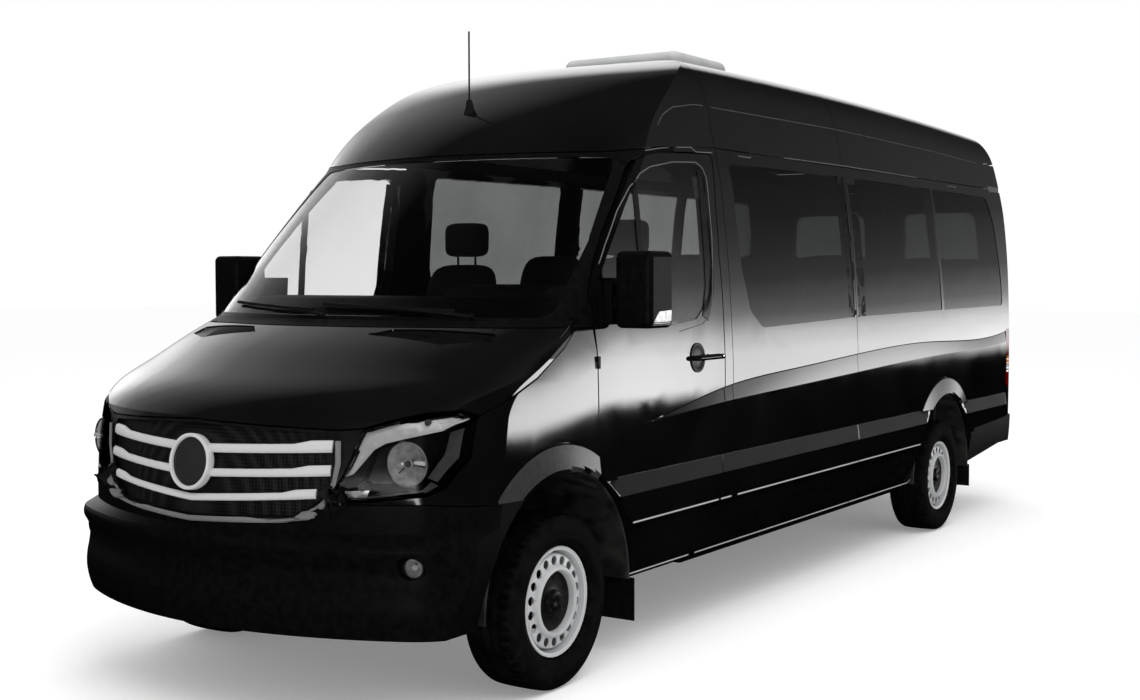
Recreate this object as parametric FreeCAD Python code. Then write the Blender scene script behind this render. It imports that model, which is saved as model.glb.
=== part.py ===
import FreeCAD, Part
import math
import os

V = FreeCAD.Vector

# Driving dimensions in millimetres. Stations (y) count rearward from the front axle, heights (z) from the ground,
# x is positive on the vehicle's left. The finished solids move forward by half the length at export.
length = 6945.0
wheelbase = 4325.0
front_overhang = 1015.0
mirror_span = 2426.0
track_front = 1710.0
track_rear = 1716.0
tyre_radius = 345.0
tyre_width = 235.0
rim_radius = 206.0
arch_radius = 505.0
flare_proud = 9.0
wall = 60.0
skin = 22.0
hood_wall = 30.0
wing_wall = 14.0
groove = 5.0
groove_depth = 18.0
hood_gap = 6.0
door_gap = 8.0
fit = 0.4
glass_inset = 3.0
glass_thickness = 6.0
floor_height = 640.0
floor_thickness = 45.0
sill_height = 335.0
hinge_radius = 6.0
door_hinge_heights = (985.0, 1240.0)
rear_hinge_heights = (720.0, 1250.0, 1800.0)
steer_axis_offset = 95.0

# Cross-section of the body, half of it: height and half-width, from the sill to the middle of the roof
section_outline = (
    (sill_height - 5.0, 935.0), (430.0, 963.0), (550.0, 985.0), (700.0, 994.0), (850.0, 996.3), (1070.0, 996.5),
    (1200.0, 994.0), (1400.0, 984.0), (1665.0, 966.0), (1910.0, 940.0), (2085.0, 915.0), (2190.0, 893.0),
    (2300.0, 872.0), (2400.0, 852.0), (2470.0, 833.0), (2540.0, 800.0), (2595.0, 755.0), (2632.0, 690.0),
    (2655.0, 580.0), (2668.0, 400.0), (2674.0, 200.0), (2676.0, 0.0))
roof_spring = 2190.0
roof_peak = 3000.0
roof_arch = 8.0e-6

# Side profile at the middle of the vehicle: station, height and how strongly the front bows back there
bumper_profile = ((-930.0, 250.0, 0.80), (-975.0, 330.0, 0.80), (-1000.0, 410.0, 0.80), (-1000.0, 470.0, 0.80),
                  (-986.0, 530.0, 0.80), (-988.0, 590.0, 0.80), (-1012.4, 640.0, 0.80), (-1009.4, 674.0, 0.82))
bumper_core = ((-940.0, 250.0, 0.80), (-975.0, 400.0, 0.82), (-988.0, 560.0, 0.88), (-993.0, 674.0, 0.98))
ledge_profile = ((-1009.4, 674.0, 0.82), (-997.0, 702.0, 1.0))
nose_profile = ((-997.0, 702.0, 1.0), (-995.0, 820.0, 1.0), (-983.0, 960.0, 1.0), (-957.0, 1095.0, 1.0))
hood_profile = ((-957.0, 1095.0, 1.0), (-900.0, 1150.0, 0.97), (-700.0, 1248.0, 0.92), (-460.0, 1352.0, 0.86),
                (-320.0, 1406.0, 0.82))
cowl_profile = ((-320.0, 1406.0, 0.82), (-250.0, 1433.0, 0.82))
screen_profile = ((-250.0, 1433.0, 0.82), (76.0, 1782.0, 0.87), (420.0, 2113.0, 0.93))
dome_profile = ((420.0, 2113.0, 0.93), (620.0, 2303.0, 0.90), (860.0, 2452.0, 0.85), (1030.0, 2534.0, 0.80),
                (1250.0, 2602.0, 0.70), (1500.0, 2650.0, 0.50), (2000.0, 2725.0, 0.30))
tail_profile = ((5400.0, 2725.0), (5570.0, 2640.0), (5680.0, 2540.0), (5745.0, 2420.0), (5790.0, 2250.0),
                (5838.0, 1950.0), (5868.0, 1600.0), (5885.0, 1200.0), (5885.0, 600.0), (5872.0, 250.0))
bow_depth = 375.0
corner_depth = 225.0
corner_power = 24
tail_bow = 90.0
tail_corner = 180.0
tail_power = 14
bow_stations = (0.0, 250.0, 400.0, 550.0, 700.0, 800.0, 870.0, 920.0, 960.0, 985.0, 1000.0, 1020.0)

# Outlines in the side view, as station, height and corner radius
door_outline = (
    (233.0, 345.0), (233.0, 1306.0, 60.0), (205.0, 1532.0, 60.0), (277.0, 1651.0), (380.0, 1781.0), (504.0, 1912.0),
    (632.0, 2050.0), (690.0, 2098.0), (740.0, 2118.0), (846.0, 2136.0), (1060.0, 2150.0), (1350.0, 2165.0, 30.0),
    (1320.0, 1940.0), (1308.0, 1694.0), (1316.0, 1511.0), (1314.0, 1229.0), (1304.0, 900.0, 200.0),
    (1240.0, 560.0, 200.0), (1085.0, 345.0, 40.0))
door_window_outline = (
    (450.0, 1398.0, 30.0), (268.0, 1592.0, 25.0), (393.0, 1745.0), (516.0, 1888.0), (640.0, 2025.0, 60.0),
    (720.0, 2070.0, 60.0), (1040.0, 2098.0), (1225.0, 2104.0, 60.0), (1243.0, 1960.0), (1226.0, 1640.0),
    (1190.0, 1500.0, 90.0), (1060.0, 1415.0, 60.0), (840.0, 1396.0))
side_windows = (
    ((1510.0, 2133.0, 25.0), (2865.0, 2146.0, 12.0), (2865.0, 1383.0, 12.0), (1720.0, 1358.0, 90.0),
     (1600.0, 1440.0, 60.0), (1530.0, 1650.0)),
    ((2915.0, 2146.0, 12.0), (4235.0, 2148.0, 12.0), (4270.0, 1394.0, 12.0), (2915.0, 1384.0, 12.0)),
    ((4275.0, 2148.0, 12.0), (5350.0, 2140.0, 90.0), (5440.0, 1950.0), (5500.0, 1560.0), (5500.0, 1401.0, 40.0),
     (4310.0, 1394.0, 12.0)))
hood_seam = ((-1200.0, 1020.0), (-560.0, 1075.0), (-500.0, 1112.0), (-412.0, 1141.0), (-194.0, 1222.0),
             (0.0, 1330.0), (88.0, 1407.0))
wing_front_seam = ((-1200.0, 806.0), (-700.0, 806.0), (-560.0, 790.0), (-440.0, 785.0))
front_seam = 228.0
post_seam = 1398.0
middle_seam = 2890.0
roof_seam = 2198.0
cowl_height = 1409.0

# Outlines in the front view, as x, height and corner radius
lamp_outline = ((560.0, 811.0, 8.0), (617.0, 912.0, 60.0), (640.0, 990.0), (664.0, 1066.0, 10.0), (774.0, 1101.0),
                (853.0, 1120.0), (925.0, 1126.0, 12.0), (960.0, 1104.0, 12.0), (953.0, 959.0, 40.0),
                (911.0, 864.0, 30.0), (868.0, 838.0), (697.0, 819.0))
grille_outline = ((0.0, 1078.0), (575.0, 1050.0, 25.0), (590.0, 950.0), (574.0, 880.0), (535.0, 815.0, 40.0),
                  (441.0, 758.0, 60.0), (0.0, 738.0))
screen_outline = ((905.0, 1446.0, 40.0), (893.0, 1745.0), (832.0, 2050.0), (806.0, 2108.0, 40.0), (507.0, 2116.0),
                  (0.0, 2121.0))
rear_door_edge = 885.0
rear_door_sill = 640.0
rear_door_top = 2380.0
rear_window = ((150.0, 1400.0, 40.0), (150.0, 2060.0, 60.0), (700.0, 2060.0, 80.0), (755.0, 1400.0, 40.0))

front_axle = -length / 2 + front_overhang


def bow(x):
    """How far the front surface falls back at x, at full strength."""
    u = abs(x) / 1000.0
    return bow_depth * u ** 2 + corner_depth * u ** corner_power


def tail_fall(x):
    """How far the rear surface falls forward at x."""
    u = abs(x) / 1000.0
    return tail_bow * u ** 2 + tail_corner * u ** tail_power


def roof_drop(station, height):
    """The roof's arch along the vehicle, which fades out at the roof's spring line."""
    share = max(0.0, (height - roof_spring) / (2676.0 - roof_spring))
    return -roof_arch * (station - roof_peak) ** 2 * share


def inset_line(points, distance):
    """Shift an open row of 2-D points to their right-hand side by the distance."""
    shifted = []
    for i, (a, b) in enumerate(points):
        before = points[max(i - 1, 0)]
        after = points[min(i + 1, len(points) - 1)]
        da, db = after[0] - before[0], after[1] - before[1]
        size = math.hypot(da, db)
        shifted.append((a + db / size * distance, b - da / size * distance))
    return shifted


def grow(points, distance):
    """Offset a closed outline of (a, b[, radius]) points outward, with mitred corners."""
    area = sum(p[0] * q[1] - q[0] * p[1] for p, q in zip(points, points[1:] + points[:1]))
    side = distance if area > 0 else -distance
    grown = []
    for i, point in enumerate(points):
        before, after = points[i - 1], points[(i + 1) % len(points)]
        ua, ub = point[0] - before[0], point[1] - before[1]
        va, vb = after[0] - point[0], after[1] - point[1]
        u, v = math.hypot(ua, ub), math.hypot(va, vb)
        na, nb = ub / u + vb / v, -ua / u - va / v
        scale = side / (1.0 + (ua * va + ub * vb) / (u * v))
        radius = point[2] if len(point) > 2 else 0.0
        if radius:
            turn = (ua * vb - ub * va) * (1 if area > 0 else -1)
            radius = max(1.0, radius + (distance if turn > 0 else -distance))
        grown.append((point[0] + na * scale, point[1] + nb * scale, radius))
    return grown


def outline_wire(points, place):
    """A closed wire with rounded corners; place turns (a, b) into a vector."""
    edges = []
    stops = []
    count = len(points)
    for i, point in enumerate(points):
        radius = point[2] if len(point) > 2 else 0.0
        here = V(point[0], point[1], 0)
        if radius <= 0:
            stops.append((here, here, None))
            continue
        before = V(points[i - 1][0], points[i - 1][1], 0)
        after = V(points[(i + 1) % count][0], points[(i + 1) % count][1], 0)
        to_before = (before - here).normalize()
        to_after = (after - here).normalize()
        half = to_before.getAngle(to_after) / 2
        reach = min(radius / math.tan(half), 0.45 * before.distanceToPoint(here), 0.45 * after.distanceToPoint(here))
        bisector = (to_before + to_after).normalize()
        middle = here + bisector * (reach / math.cos(half) - reach * math.tan(half))
        stops.append((here + to_before * reach, here + to_after * reach, middle))
    for i, (start, end, middle) in enumerate(stops):
        if middle is not None:
            edges.append(Part.Arc(place(start), place(middle), place(end)).toShape())
        following = stops[(i + 1) % count][0]
        if end.distanceToPoint(following) > 1e-6:
            edges.append(Part.makeLine(place(end), place(following)))
    return Part.Wire(edges)


def side_prism(points, x0=-1300.0, x1=1300.0):
    """A prism across the vehicle from an outline in the side view."""
    wire = outline_wire(list(points), lambda p: V(x0, p.x, p.y))
    return Part.Face(wire).extrude(V(x1 - x0, 0, 0))


def front_prism(points, y0=-1300.0, y1=2500.0):
    """A prism along the vehicle from an outline in the front view."""
    wire = outline_wire(list(points), lambda p: V(p.x, y0, p.y))
    return Part.Face(wire).extrude(V(0, y1 - y0, 0))


def plan_prism(points, z0, z1):
    """A standing prism from an outline seen from above."""
    wire = outline_wire(list(points), lambda p: V(p.x, p.y, z0))
    return Part.Face(wire).extrude(V(0, 0, z1 - z0))


def box(x0, x1, y0, y1, z0, z1):
    return Part.makeBox(x1 - x0, y1 - y0, z1 - z0, V(x0, y0, z0))


def both_sides(points):
    """A front-view outline of the right half completed with its mirror image."""
    other = [(-p[0],) + tuple(p[1:]) for p in reversed(points) if p[0] > 0]
    return list(points) + other


def chord_marks(points):
    """Distances along an open row of 2-D points, which place a spline's knots."""
    marks = [0.0]
    for before, after in zip(points, points[1:]):
        marks.append(marks[-1] + math.hypot(after[0] - before[0], after[1] - before[1]))
    return marks


def spline(points, marks):
    curve = Part.BSplineCurve()
    curve.interpolate(Points=points, Parameters=marks)
    return curve.toShape()


def section_solid(inset):
    """The body's cross-section carried along the vehicle, set in by the given wall."""
    half = inset_line([(x, z) for z, x in section_outline], -inset)
    half[-1] = (0.0, half[-1][1])
    if inset > 0:
        half[0] = (half[0][0], half[0][1] - 80.0)
    marks = chord_marks(section_outline)
    marks += [2 * marks[-1] - mark for mark in reversed(marks[:-1])]
    wires = []
    for station in (-1250.0, 1200.0, 3650.0, 6100.0):
        left = [V(x, station, z + roof_drop(station, z)) for x, z in half]
        right = [V(-p.x, p.y, p.z) for p in reversed(left[:-1])]
        top = spline(left + right, marks)
        wires.append(Part.Wire([top, Part.makeLine(right[-1], left[0])]))
    return Part.makeLoft(wires, True, False)


def run_outline(run):
    return [(y, z) for y, z, strength in run]


def profile_solid(inset, tail_shift=0.0):
    """The side profile carried across the vehicle with its bow, set in by the given wall."""
    low = bumper_core if inset > groove else bumper_profile
    runs = [low, (low[-1], ledge_profile[1]), nose_profile, hood_profile, cowl_profile, screen_profile, dome_profile]
    wires = []
    halves = [-x for x in reversed(bow_stations[1:])] + list(bow_stations)
    for x in halves:
        chain = []
        marks = []
        for run in runs:
            points = [(y + s * bow(x), z) for y, z, s in run]
            chain += points if not chain else points[1:]
            marks.append(chord_marks(run_outline(run)))
        chain += [(y + tail_shift - tail_fall(x), z) for y, z in tail_profile]
        marks += [[0.0, 1.0], chord_marks(tail_profile)]
        chain = inset_line(chain, inset) if inset else chain
        edges = []
        start = 0
        for row in marks:
            points = [V(x, a, b) for a, b in chain[start:start + len(row)]]
            edges.append(spline(points, row) if len(points) > 2 else Part.makeLine(points[0], points[1]))
            start += len(row) - 1
        edges.append(Part.makeLine(V(x, *chain[-1]), V(x, *chain[0])))
        wires.append(Part.Wire(edges))
    return Part.makeLoft(wires, True, False)


def hull(inset, profile_inset=None):
    """The body's outer form, set in by the wall."""
    return section_solid(inset).common(profile_solid(inset if profile_inset is None else profile_inset))


def thick_line(points, width):
    """The closed outline of a line of the given width through an open row of points."""
    return inset_line(points, width / 2) + inset_line(points, -width / 2)[::-1]


def mirrored(shape):
    return shape.mirror(V(0, 0, 0), V(1, 0, 0))


def both(shape):
    return [shape, mirrored(shape)]


def largest(shape):
    """The main solid of a boolean result, without slivers."""
    return max(shape.Solids, key=lambda solid: solid.Volume)


def group(shapes):
    """Solids that share a node without touching."""
    return Part.makeCompound([solid for shape in shapes for solid in shape.Solids])


def fuse(shapes):
    return shapes[0].fuse(list(shapes[1:])).removeSplitter()


def post(start, end, radius):
    """A round bar between two points."""
    start, end = V(*start), V(*end)
    return Part.makeCylinder(radius, (end - start).Length, start, end - start)


def rod(points, radius):
    """A round bar through points, with ball corners."""
    pieces = [post(p, q, radius) for p, q in zip(points, points[1:])]
    return fuse(pieces + [Part.makeSphere(radius, V(*p)) for p in points[1:-1]])


def rounded_box(x0, x1, y0, y1, z0, z1, radius):
    solid = box(x0, x1, y0, y1, z0, z1)
    return solid.makeFillet(radius, solid.Edges)


def arch(station, extra=0.0, inboard=440.0):
    """The open room of one wheel arch on the left, about the arch's centre."""
    return Part.makeCylinder(arch_radius + extra, 1300.0 - inboard, V(inboard, station, arch_height), V(1, 0, 0))


# Wheel arches with flares, rubbing mouldings and the side crease
arch_height = 360.0
flare_height = 392.0
flare_radius = 578.0
flare_foot = 783.0
flare_root = 984.5
flare_shifts = {0.0: -60.0, wheelbase: -30.0}
moulding_section = ((970.0, 790.0), (996.0, 790.0), (1006.0, 714.0), (1003.5, 582.0), (986.0, 566.0), (970.0, 566.0))
moulding_runs = ((250.0, wheelbase - 300.0), (wheelbase + 300.0, 5545.0))
crease_rows = ((440.0, 992.0, 985.0, 1.0), (820.0, 1034.0, 1004.0, 5.0), (1307.0, 1106.0, 1026.0, 8.0),
               (2050.0, 1152.0, 1046.0, 8.0), (2900.0, 1190.0, 1068.0, 8.0), (3975.0, 1214.0, 1094.0, 8.0),
               (5541.0, 1230.0, 1122.0, 8.0), (6100.0, 1234.0, 1130.0, 8.0))
crease_lip = 14.0

# Seams of the fixed panels, each a groove in the outer sheet over flanges that meet
header_end = 1000.0
cap_seam = [(-300.0, 2135.0), (640.0, 2135.0), (836.0, 2162.0), (1100.0, 2182.0), (post_seam, roof_seam)]
roof_seam_rise = 15.0
hood_front = [(0.0, 1084.0), (590.0, 1062.0), (664.0, 1069.0), (774.0, 1104.0), (853.0, 1123.0), (928.0, 1129.0),
              (962.0, 1108.0)]
face_low = [(958.0, 959.0), (916.0, 860.0), (870.0, 834.0), (697.0, 815.0), (558.0, 806.0), (441.0, 750.0),
            (0.0, 728.0)]
face_outline = hood_front + face_low
bumper_ends = -150.0
rear_bumper_side = ((4860.0, 370.0, 30.0), (4860.0, 600.0), (5600.0, 628.0), (6300.0, 628.0), (6300.0, 440.0),
                    (5500.0, 440.0, 200.0))
rear_bumper_push = 45.0
flange_step = 14.0


def seam_height(station):
    return roof_seam + (station - post_seam) / (length - post_seam) * roof_seam_rise


def cap_height(station):
    """Height of the seam between the side and the roof cap, ahead of the post seam."""
    for (y0, z0), (y1, z1) in zip(cap_seam, cap_seam[1:]):
        if y0 <= station <= y1:
            return z0 + (z1 - z0) * (station - y0) / (y1 - y0)
    return roof_seam


def flare(station):
    """The part of an arch flare that stands proud of the left side."""
    centre = V(850.0, station + flare_shifts[station], flare_height)
    disc = Part.makeCylinder(flare_radius, 400.0, centre, V(1, 0, 0))
    room = box(flare_root, 1300.0, station - 800.0, station + 800.0, flare_foot, 1300.0)
    return section_solid(-flare_proud).common(disc.common(room))


def moulding(y0, y1):
    wire = outline_wire(moulding_section, lambda p: V(p.x, y0, p.y))
    return Part.Face(wire).extrude(V(0, y1 - y0, 0))


def side_crease():
    """The cutter of the crease along the side: a short lip above a face that slopes out downward."""
    wires = []
    for station, top, low, depth in crease_rows:
        lip = min(crease_lip, (top - low) / 2)
        corners = [V(1003, station, top + 1), V(996.5 - depth, station, top - lip), V(997.5, station, low),
                   V(1012, station, (top + low) / 2)]
        wires.append(Part.makePolygon(corners + corners[:1]))
    return Part.makeLoft(wires, True, False)


def dress(panel, region, stations):
    """Add the flares and mouldings within a region of the left side, then the crease and open arches."""
    extras = [moulding(y0, y1).common(region) for y0, y1 in moulding_runs]
    extras += [flare(station).common(region) for station in stations]
    extras = [extra for extra in extras if extra.Solids]
    return panel.fuse(extras).cut(side_crease())


def groove_lines(deep):
    """The grooves by name, each no deeper than the panels' flange."""
    roof_line = [(post_seam, seam_height(post_seam)), (6200.0, seam_height(6200.0))]
    front = box(-1300, 1300, -1300, -300, 300, 1300)
    lamp = front_prism(grow(list(lamp_outline), groove / 2), -1300.0, 0.0)
    lamp = lamp.cut(front_prism(grow(list(lamp_outline), -groove / 2), -1300.0, 0.0)).common(front)
    chin_line = face_low[3:] + [(-x, z) for x, z in reversed(face_low[3:-1])]
    chin = front_prism(thick_line(chin_line, groove), -1300.0, -300.0)
    slabs = {"cap": side_prism(thick_line(cap_seam, groove)), "roof": side_prism(thick_line(roof_line, groove)),
             "post": box(-1300, 1300, post_seam - groove / 2, post_seam + groove / 2, 300.0, 2800.0),
             "middle": box(-1300, 1300, middle_seam - groove / 2, middle_seam + groove / 2, 300.0, 2800.0),
             "wing": side_prism(thick_line(list(wing_front_seam), groove)), "lamp": lamp, "lamp_right": mirrored(lamp),
             "chin": chin}
    return {name: slab.cut(deep) for name, slab in slabs.items()}


def side_pane(points):
    """A pane of side glass just inside the body's outer face."""
    prism = side_prism(grow(list(points), -fit), 700.0, 1100.0)
    return section_solid(glass_inset).common(prism).cut(section_solid(glass_inset + glass_thickness))


def end_pane(points, y0, y1):
    """A pane of glass in the front or rear of the body."""
    prism = front_prism(grow(list(points), -fit), y0, y1)
    return profile_solid(glass_inset).common(prism).cut(profile_solid(glass_inset + glass_thickness))


def hinge_knuckle(x, y, z, radius, leaf, height):
    """One hinge knuckle with the leaf that joins it to its panel."""
    barrel = Part.makeCylinder(radius, height, V(x, y, z))
    return barrel.fuse(plan_prism(leaf, z, z + height))


def front_doors(outer, inner):
    """The left front door with its moulding, flare end, handle and hinge halves, and its glass."""
    region = side_prism(door_outline, 0.0)
    door = outer.common(region).cut(inner)
    flange = side_prism(grow(list(door_outline), 2.0), 500.0)
    flange = flange.cut(side_prism(grow(list(door_outline), -flange_step), 500.0)).common(section_solid(skin))
    door = dress(door.cut(flange), region, (0.0,))
    door = door.cut([arch(0.0, door_gap), side_prism(door_window_outline, 0.0)])
    door = largest(door)
    x, y = door_hinge_x, door_hinge_y
    for height in door_hinge_heights:
        door = door.cut(Part.makeCylinder(hinge_radius + 3.0, hinge_height + fit + 4.0, V(x, y, height - 4.0)))
        leaf = [(x - 8.0, y), (x + 0.0, y), (x - 2.0, y + 14.0), (x - 12.0, y + 14.0)]
        door = door.fuse(hinge_knuckle(x, y, height + hinge_height + fit, hinge_radius, leaf, hinge_height))
    grip_x = 992.0 + handle_reach
    handle = rod([(980.0, handle_front, handle_height), (grip_x, handle_front + 12.0, handle_height),
                  (grip_x, handle_rear - 12.0, handle_height), (980.0, handle_rear, handle_height)], handle_radius)
    return largest(door.fuse(handle)), largest(side_pane(door_window_outline))


door_hinge_x = 998.5
door_hinge_y = 229.0
hinge_height = 24.0
handle_reach = 28.0
handle_front = 1010.0
handle_rear = 1262.0
handle_height = 1243.0
handle_radius = 11.0
rear_hinge_x = 898.0
rear_hinge_y = 5791.0
rear_hinge_radius = 10.0
rear_hinge_height = 34.0
hood_hinge_y = 100.0
hood_hinge_z = 1443.0
hood_hinge_x = 970.0
hood_rear = -321.0
hood_bow = 0.82


def door_opening():
    return side_prism(grow(list(door_outline), door_gap))


def windscreen_frame(outer, inner, lines):
    back = header_end - fit
    side = [(-700.0, cowl_height + fit), (600.0, cowl_height + fit), (back, 2100.0), (back, cap_height(back) - fit)]
    side += [(y, z - fit) for y, z in reversed(cap_seam) if -300.0 < y < back] + [(-700.0, cap_seam[0][1] - fit)]
    frame = outer.common(side_prism(side)).cut(inner)
    screen = both_sides(screen_outline)
    frame = largest(frame.cut([door_opening(), front_prism(screen, -1300.0, 1100.0), lines["cap"]]))
    for sign in (1, -1):
        x = sign * hood_hinge_x
        frame = frame.fuse(post((x - sign * 40.0, hood_hinge_y, hood_hinge_z),
                                (x - sign * 9.3, hood_hinge_y, hood_hinge_z), 6.0))
    return largest(frame), largest(end_pane(screen, -1300.0, 1100.0))


def roof_panels(outer, inner, lines):
    cap = [(y, z + fit) for y, z in cap_seam[:-1]] + [(post_seam - fit, roof_seam + fit)]
    parts = {}
    cap = side_prism(cap + [(post_seam - fit, 2900.0), (-300.0, 2900.0)])
    parts["roof_front"] = largest(outer.common(cap).cut(inner).cut([lines["cap"], lines["post"]]))
    rows = {"roof_middle": (post_seam + fit, middle_seam - fit), "roof_rear": (middle_seam + fit, 6200.0)}
    for name, (a, b) in rows.items():
        prism = side_prism([(a, seam_height(a) + fit), (b, seam_height(b) + fit), (b, 2900.0), (a, 2900.0)])
        cuts = [lines["roof"], lines["middle"], lines["post"] if name == "roof_middle" else rear_opening()]
        parts[name] = largest(outer.common(prism).cut(inner).cut(cuts))
    return parts


def rear_opening():
    edge = rear_door_edge + door_gap
    return front_prism([(-edge, 300.0), (edge, 300.0), (edge, rear_door_top + door_gap, 40.0),
                        (-edge, rear_door_top + door_gap, 40.0)], 5450.0, 6300.0)


def side_panels(outer, inner, lines):
    """The left side behind the front door, split at the middle seam."""
    parts = {}
    rows = {"front": (header_end, middle_seam - fit), "rear": (middle_seam + fit, 6200.0)}
    for name, (a, b) in rows.items():
        top = [(b, seam_height(b) - fit), (a, seam_height(a) - fit)]
        if name == "front":
            top = top[:1] + [(y, z - fit) for y, z in reversed(cap_seam) if y > a] + [(a, cap_height(a) - fit)]
        region = side_prism([(a, 300.0), (b, 300.0)] + top, 0.0)
        panel = outer.common(region).cut(inner)
        panel = dress(panel, region, () if name == "front" else (wheelbase,))
        if name == "front":
            cuts = [door_opening(), side_prism(side_windows[0], 0.0), lines["post"]]
        else:
            cuts = [side_prism(points, 0.0) for points in side_windows[1:]]
            cuts += [rear_opening(), side_prism(grow(list(rear_bumper_side), fit)), arch(wheelbase)]
            cuts += [box(0.0, 1300.0, 4860.0, 6300.0, 200.0, 500.0), tail_lamp_room(fit)]
        panel = largest(panel.cut(cuts + [lines["roof"], lines["middle"]]))
        if name == "rear":
            for height in rear_hinge_heights:
                x, y = rear_hinge_x, rear_hinge_y
                panel = panel.cut(Part.makeCylinder(rear_hinge_radius + 3.0, rear_hinge_height + 4.0,
                                                    V(x, y, height + rear_hinge_height)))
                leaf = [(x - 5.0, y - 4.0), (x + 5.0, y + 1.0), (x + 30.0, y - 52.0), (x + 8.0, y - 62.0)]
                panel = panel.fuse(hinge_knuckle(x, y, height, rear_hinge_radius, leaf, rear_hinge_height))
        parts["side_panel_left_" + name] = largest(panel)
    behind_post = box(0.0, 1300.0, post_seam + fit, 6200.0, 0.0, 3000.0)
    parts["side_panel_right_rear"] = mirrored(parts["side_panel_left_rear"])
    parts["post_right"] = mirrored(largest(parts["side_panel_left_front"].cut(behind_post)))
    parts["sliding_door"] = mirrored(largest(parts["side_panel_left_front"].common(
        behind_post.translated(V(0, fit, 0)))))
    panes = [side_pane(points) for points in side_windows]
    parts["side_windows_left"] = group(panes)
    parts["side_windows_right"] = group([mirrored(p) for p in panes])
    return parts


def rear_doors(outer, inner):
    leaf = front_prism([(5.0, rear_door_sill), (rear_door_edge, rear_door_sill), (rear_door_edge, rear_door_top, 45.0),
                        (5.0, rear_door_top)], 5450.0, 6300.0)
    door = largest(outer.common(leaf).cut(inner).cut(front_prism(rear_window, 5450.0, 6300.0)))
    x, y = rear_hinge_x, rear_hinge_y
    for height in rear_hinge_heights:
        pocket = Part.makeCylinder(rear_hinge_radius + 3.0, rear_hinge_height + fit + 4.0, V(x, y, height - 4.0))
        door = door.cut(pocket)
        plate = [(x - 4.0, y + 5.0), (x, y - 6.0), (x - 26.0, y - 26.0), (x - 38.0, y + 2.0)]
        door = door.fuse(hinge_knuckle(x, y, height + rear_hinge_height + fit, rear_hinge_radius, plate,
                                       rear_hinge_height))
    return largest(door), largest(end_pane(rear_window, 5450.0, 6300.0))


def hood_room():
    """Everything in front of the hood's bowed rear edge."""
    line = [V(x, hood_rear + hood_bow * bow(x), 900.0) for x in (-990, -970, -930, -870, -700, -350, 0)]
    line += [V(-p.x, p.y, p.z) for p in reversed(line[:-1])]
    ends = [line[-1], V(990, -1300, 900), V(-990, -1300, 900), line[0]]
    wire = Part.Wire([spline(line, [p.x for p in line]), Part.makePolygon(ends)])
    return Part.Face(wire).extrude(V(0, 0, 700))


vent_outline = ((810.0, -232.0, 12.0), (792.0, -175.0, 12.0), (377.0, -290.0, 12.0), (298.0, -362.0, 12.0),
                (644.0, -335.0, 12.0))
vent_depth = 9.0


def hood_panel(outer):
    above = both_sides([(x, z + hood_gap) for x, z in hood_front] + [(1100.0, 1114.0), (1100.0, 1500.0)])
    side = [(y, z + hood_gap) for y, z in hood_seam] + [(hood_seam[-1][0], 1500.0), (-1200.0, 1500.0)]
    hood = outer.common(front_prism(above, -1300.0, 300.0)).common(side_prism(side)).common(hood_room())
    hood = largest(hood.cut(profile_solid(hood_wall)))
    vent = plan_prism(vent_outline, 1250.0, 1500.0).cut(profile_solid(vent_depth))
    hood = largest(hood.cut([vent, mirrored(vent)]))
    for sign in (1, -1):
        x = sign * hood_hinge_x
        arm = rod([(x, -20.0, 1366.0), (x, 30.0, 1398.0), (x, hood_hinge_y, hood_hinge_z)], 4.0)
        barrel = post((x - sign * 9.0, hood_hinge_y, hood_hinge_z), (x + sign * 9.0, hood_hinge_y, hood_hinge_z), 6.0)
        hood = hood.fuse([arm, barrel])
    return largest(hood)


def front_wings(outer, lines):
    side = [(y, z + fit) for y, z in wing_front_seam]
    side += [(bumper_ends, side[-1][1]), (bumper_ends, 600.0), (front_seam - 3.0, 600.0), (front_seam - 3.0, 1306.0),
             (200.0, cowl_height - fit), (91.0, cowl_height - fit)]
    side += [(y, z) for y, z in reversed(hood_seam[:-1])]
    region = side_prism(side, 0.0)
    face_room = front_prism(grow(both_sides(face_outline), fit), -1300.0, 0.0)
    wing = outer.common(region).cut(hull(wing_wall)).cut(face_room)
    wing = dress(largest(wing), region, (0.0,)).cut([door_opening(), lines["wing"], lines["lamp"], arch(0.0)])
    wing = largest(wing)
    x, y = door_hinge_x, door_hinge_y
    for height in door_hinge_heights:
        wing = wing.cut(Part.makeCylinder(hinge_radius + 3.0, hinge_height + 4.0, V(x, y, height + hinge_height)))
        leaf = [(x - 8.0, y), (x, y), (x - 2.0, y - 14.0), (x - 12.0, y - 14.0)]
        wing = wing.fuse(hinge_knuckle(x, y, height, hinge_radius, leaf, hinge_height))
    return group(both(largest(wing)))


lamp_depth = 90.0
surround_depth = 40.0
mesh_depth = 24.0
mesh_thickness = 8.0
strip_limit = ((600.0, 885.0), (617.0, 912.0), (640.0, 990.0), (664.0, 1066.0), (664.0, 1100.0), (600.0, 1100.0))
bar_rows = ((1006.0, 985.0, 44.0, 566.0), (922.0, 897.0, 40.0, 566.0), (840.0, 806.0, 36.0, 520.0))
chin_row = ((0.0, 748.0), (441.0, 768.0), (520.0, 812.0))
chin_thickness = 26.0
badge_height = 929.0
badge_radius = 105.0


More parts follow.
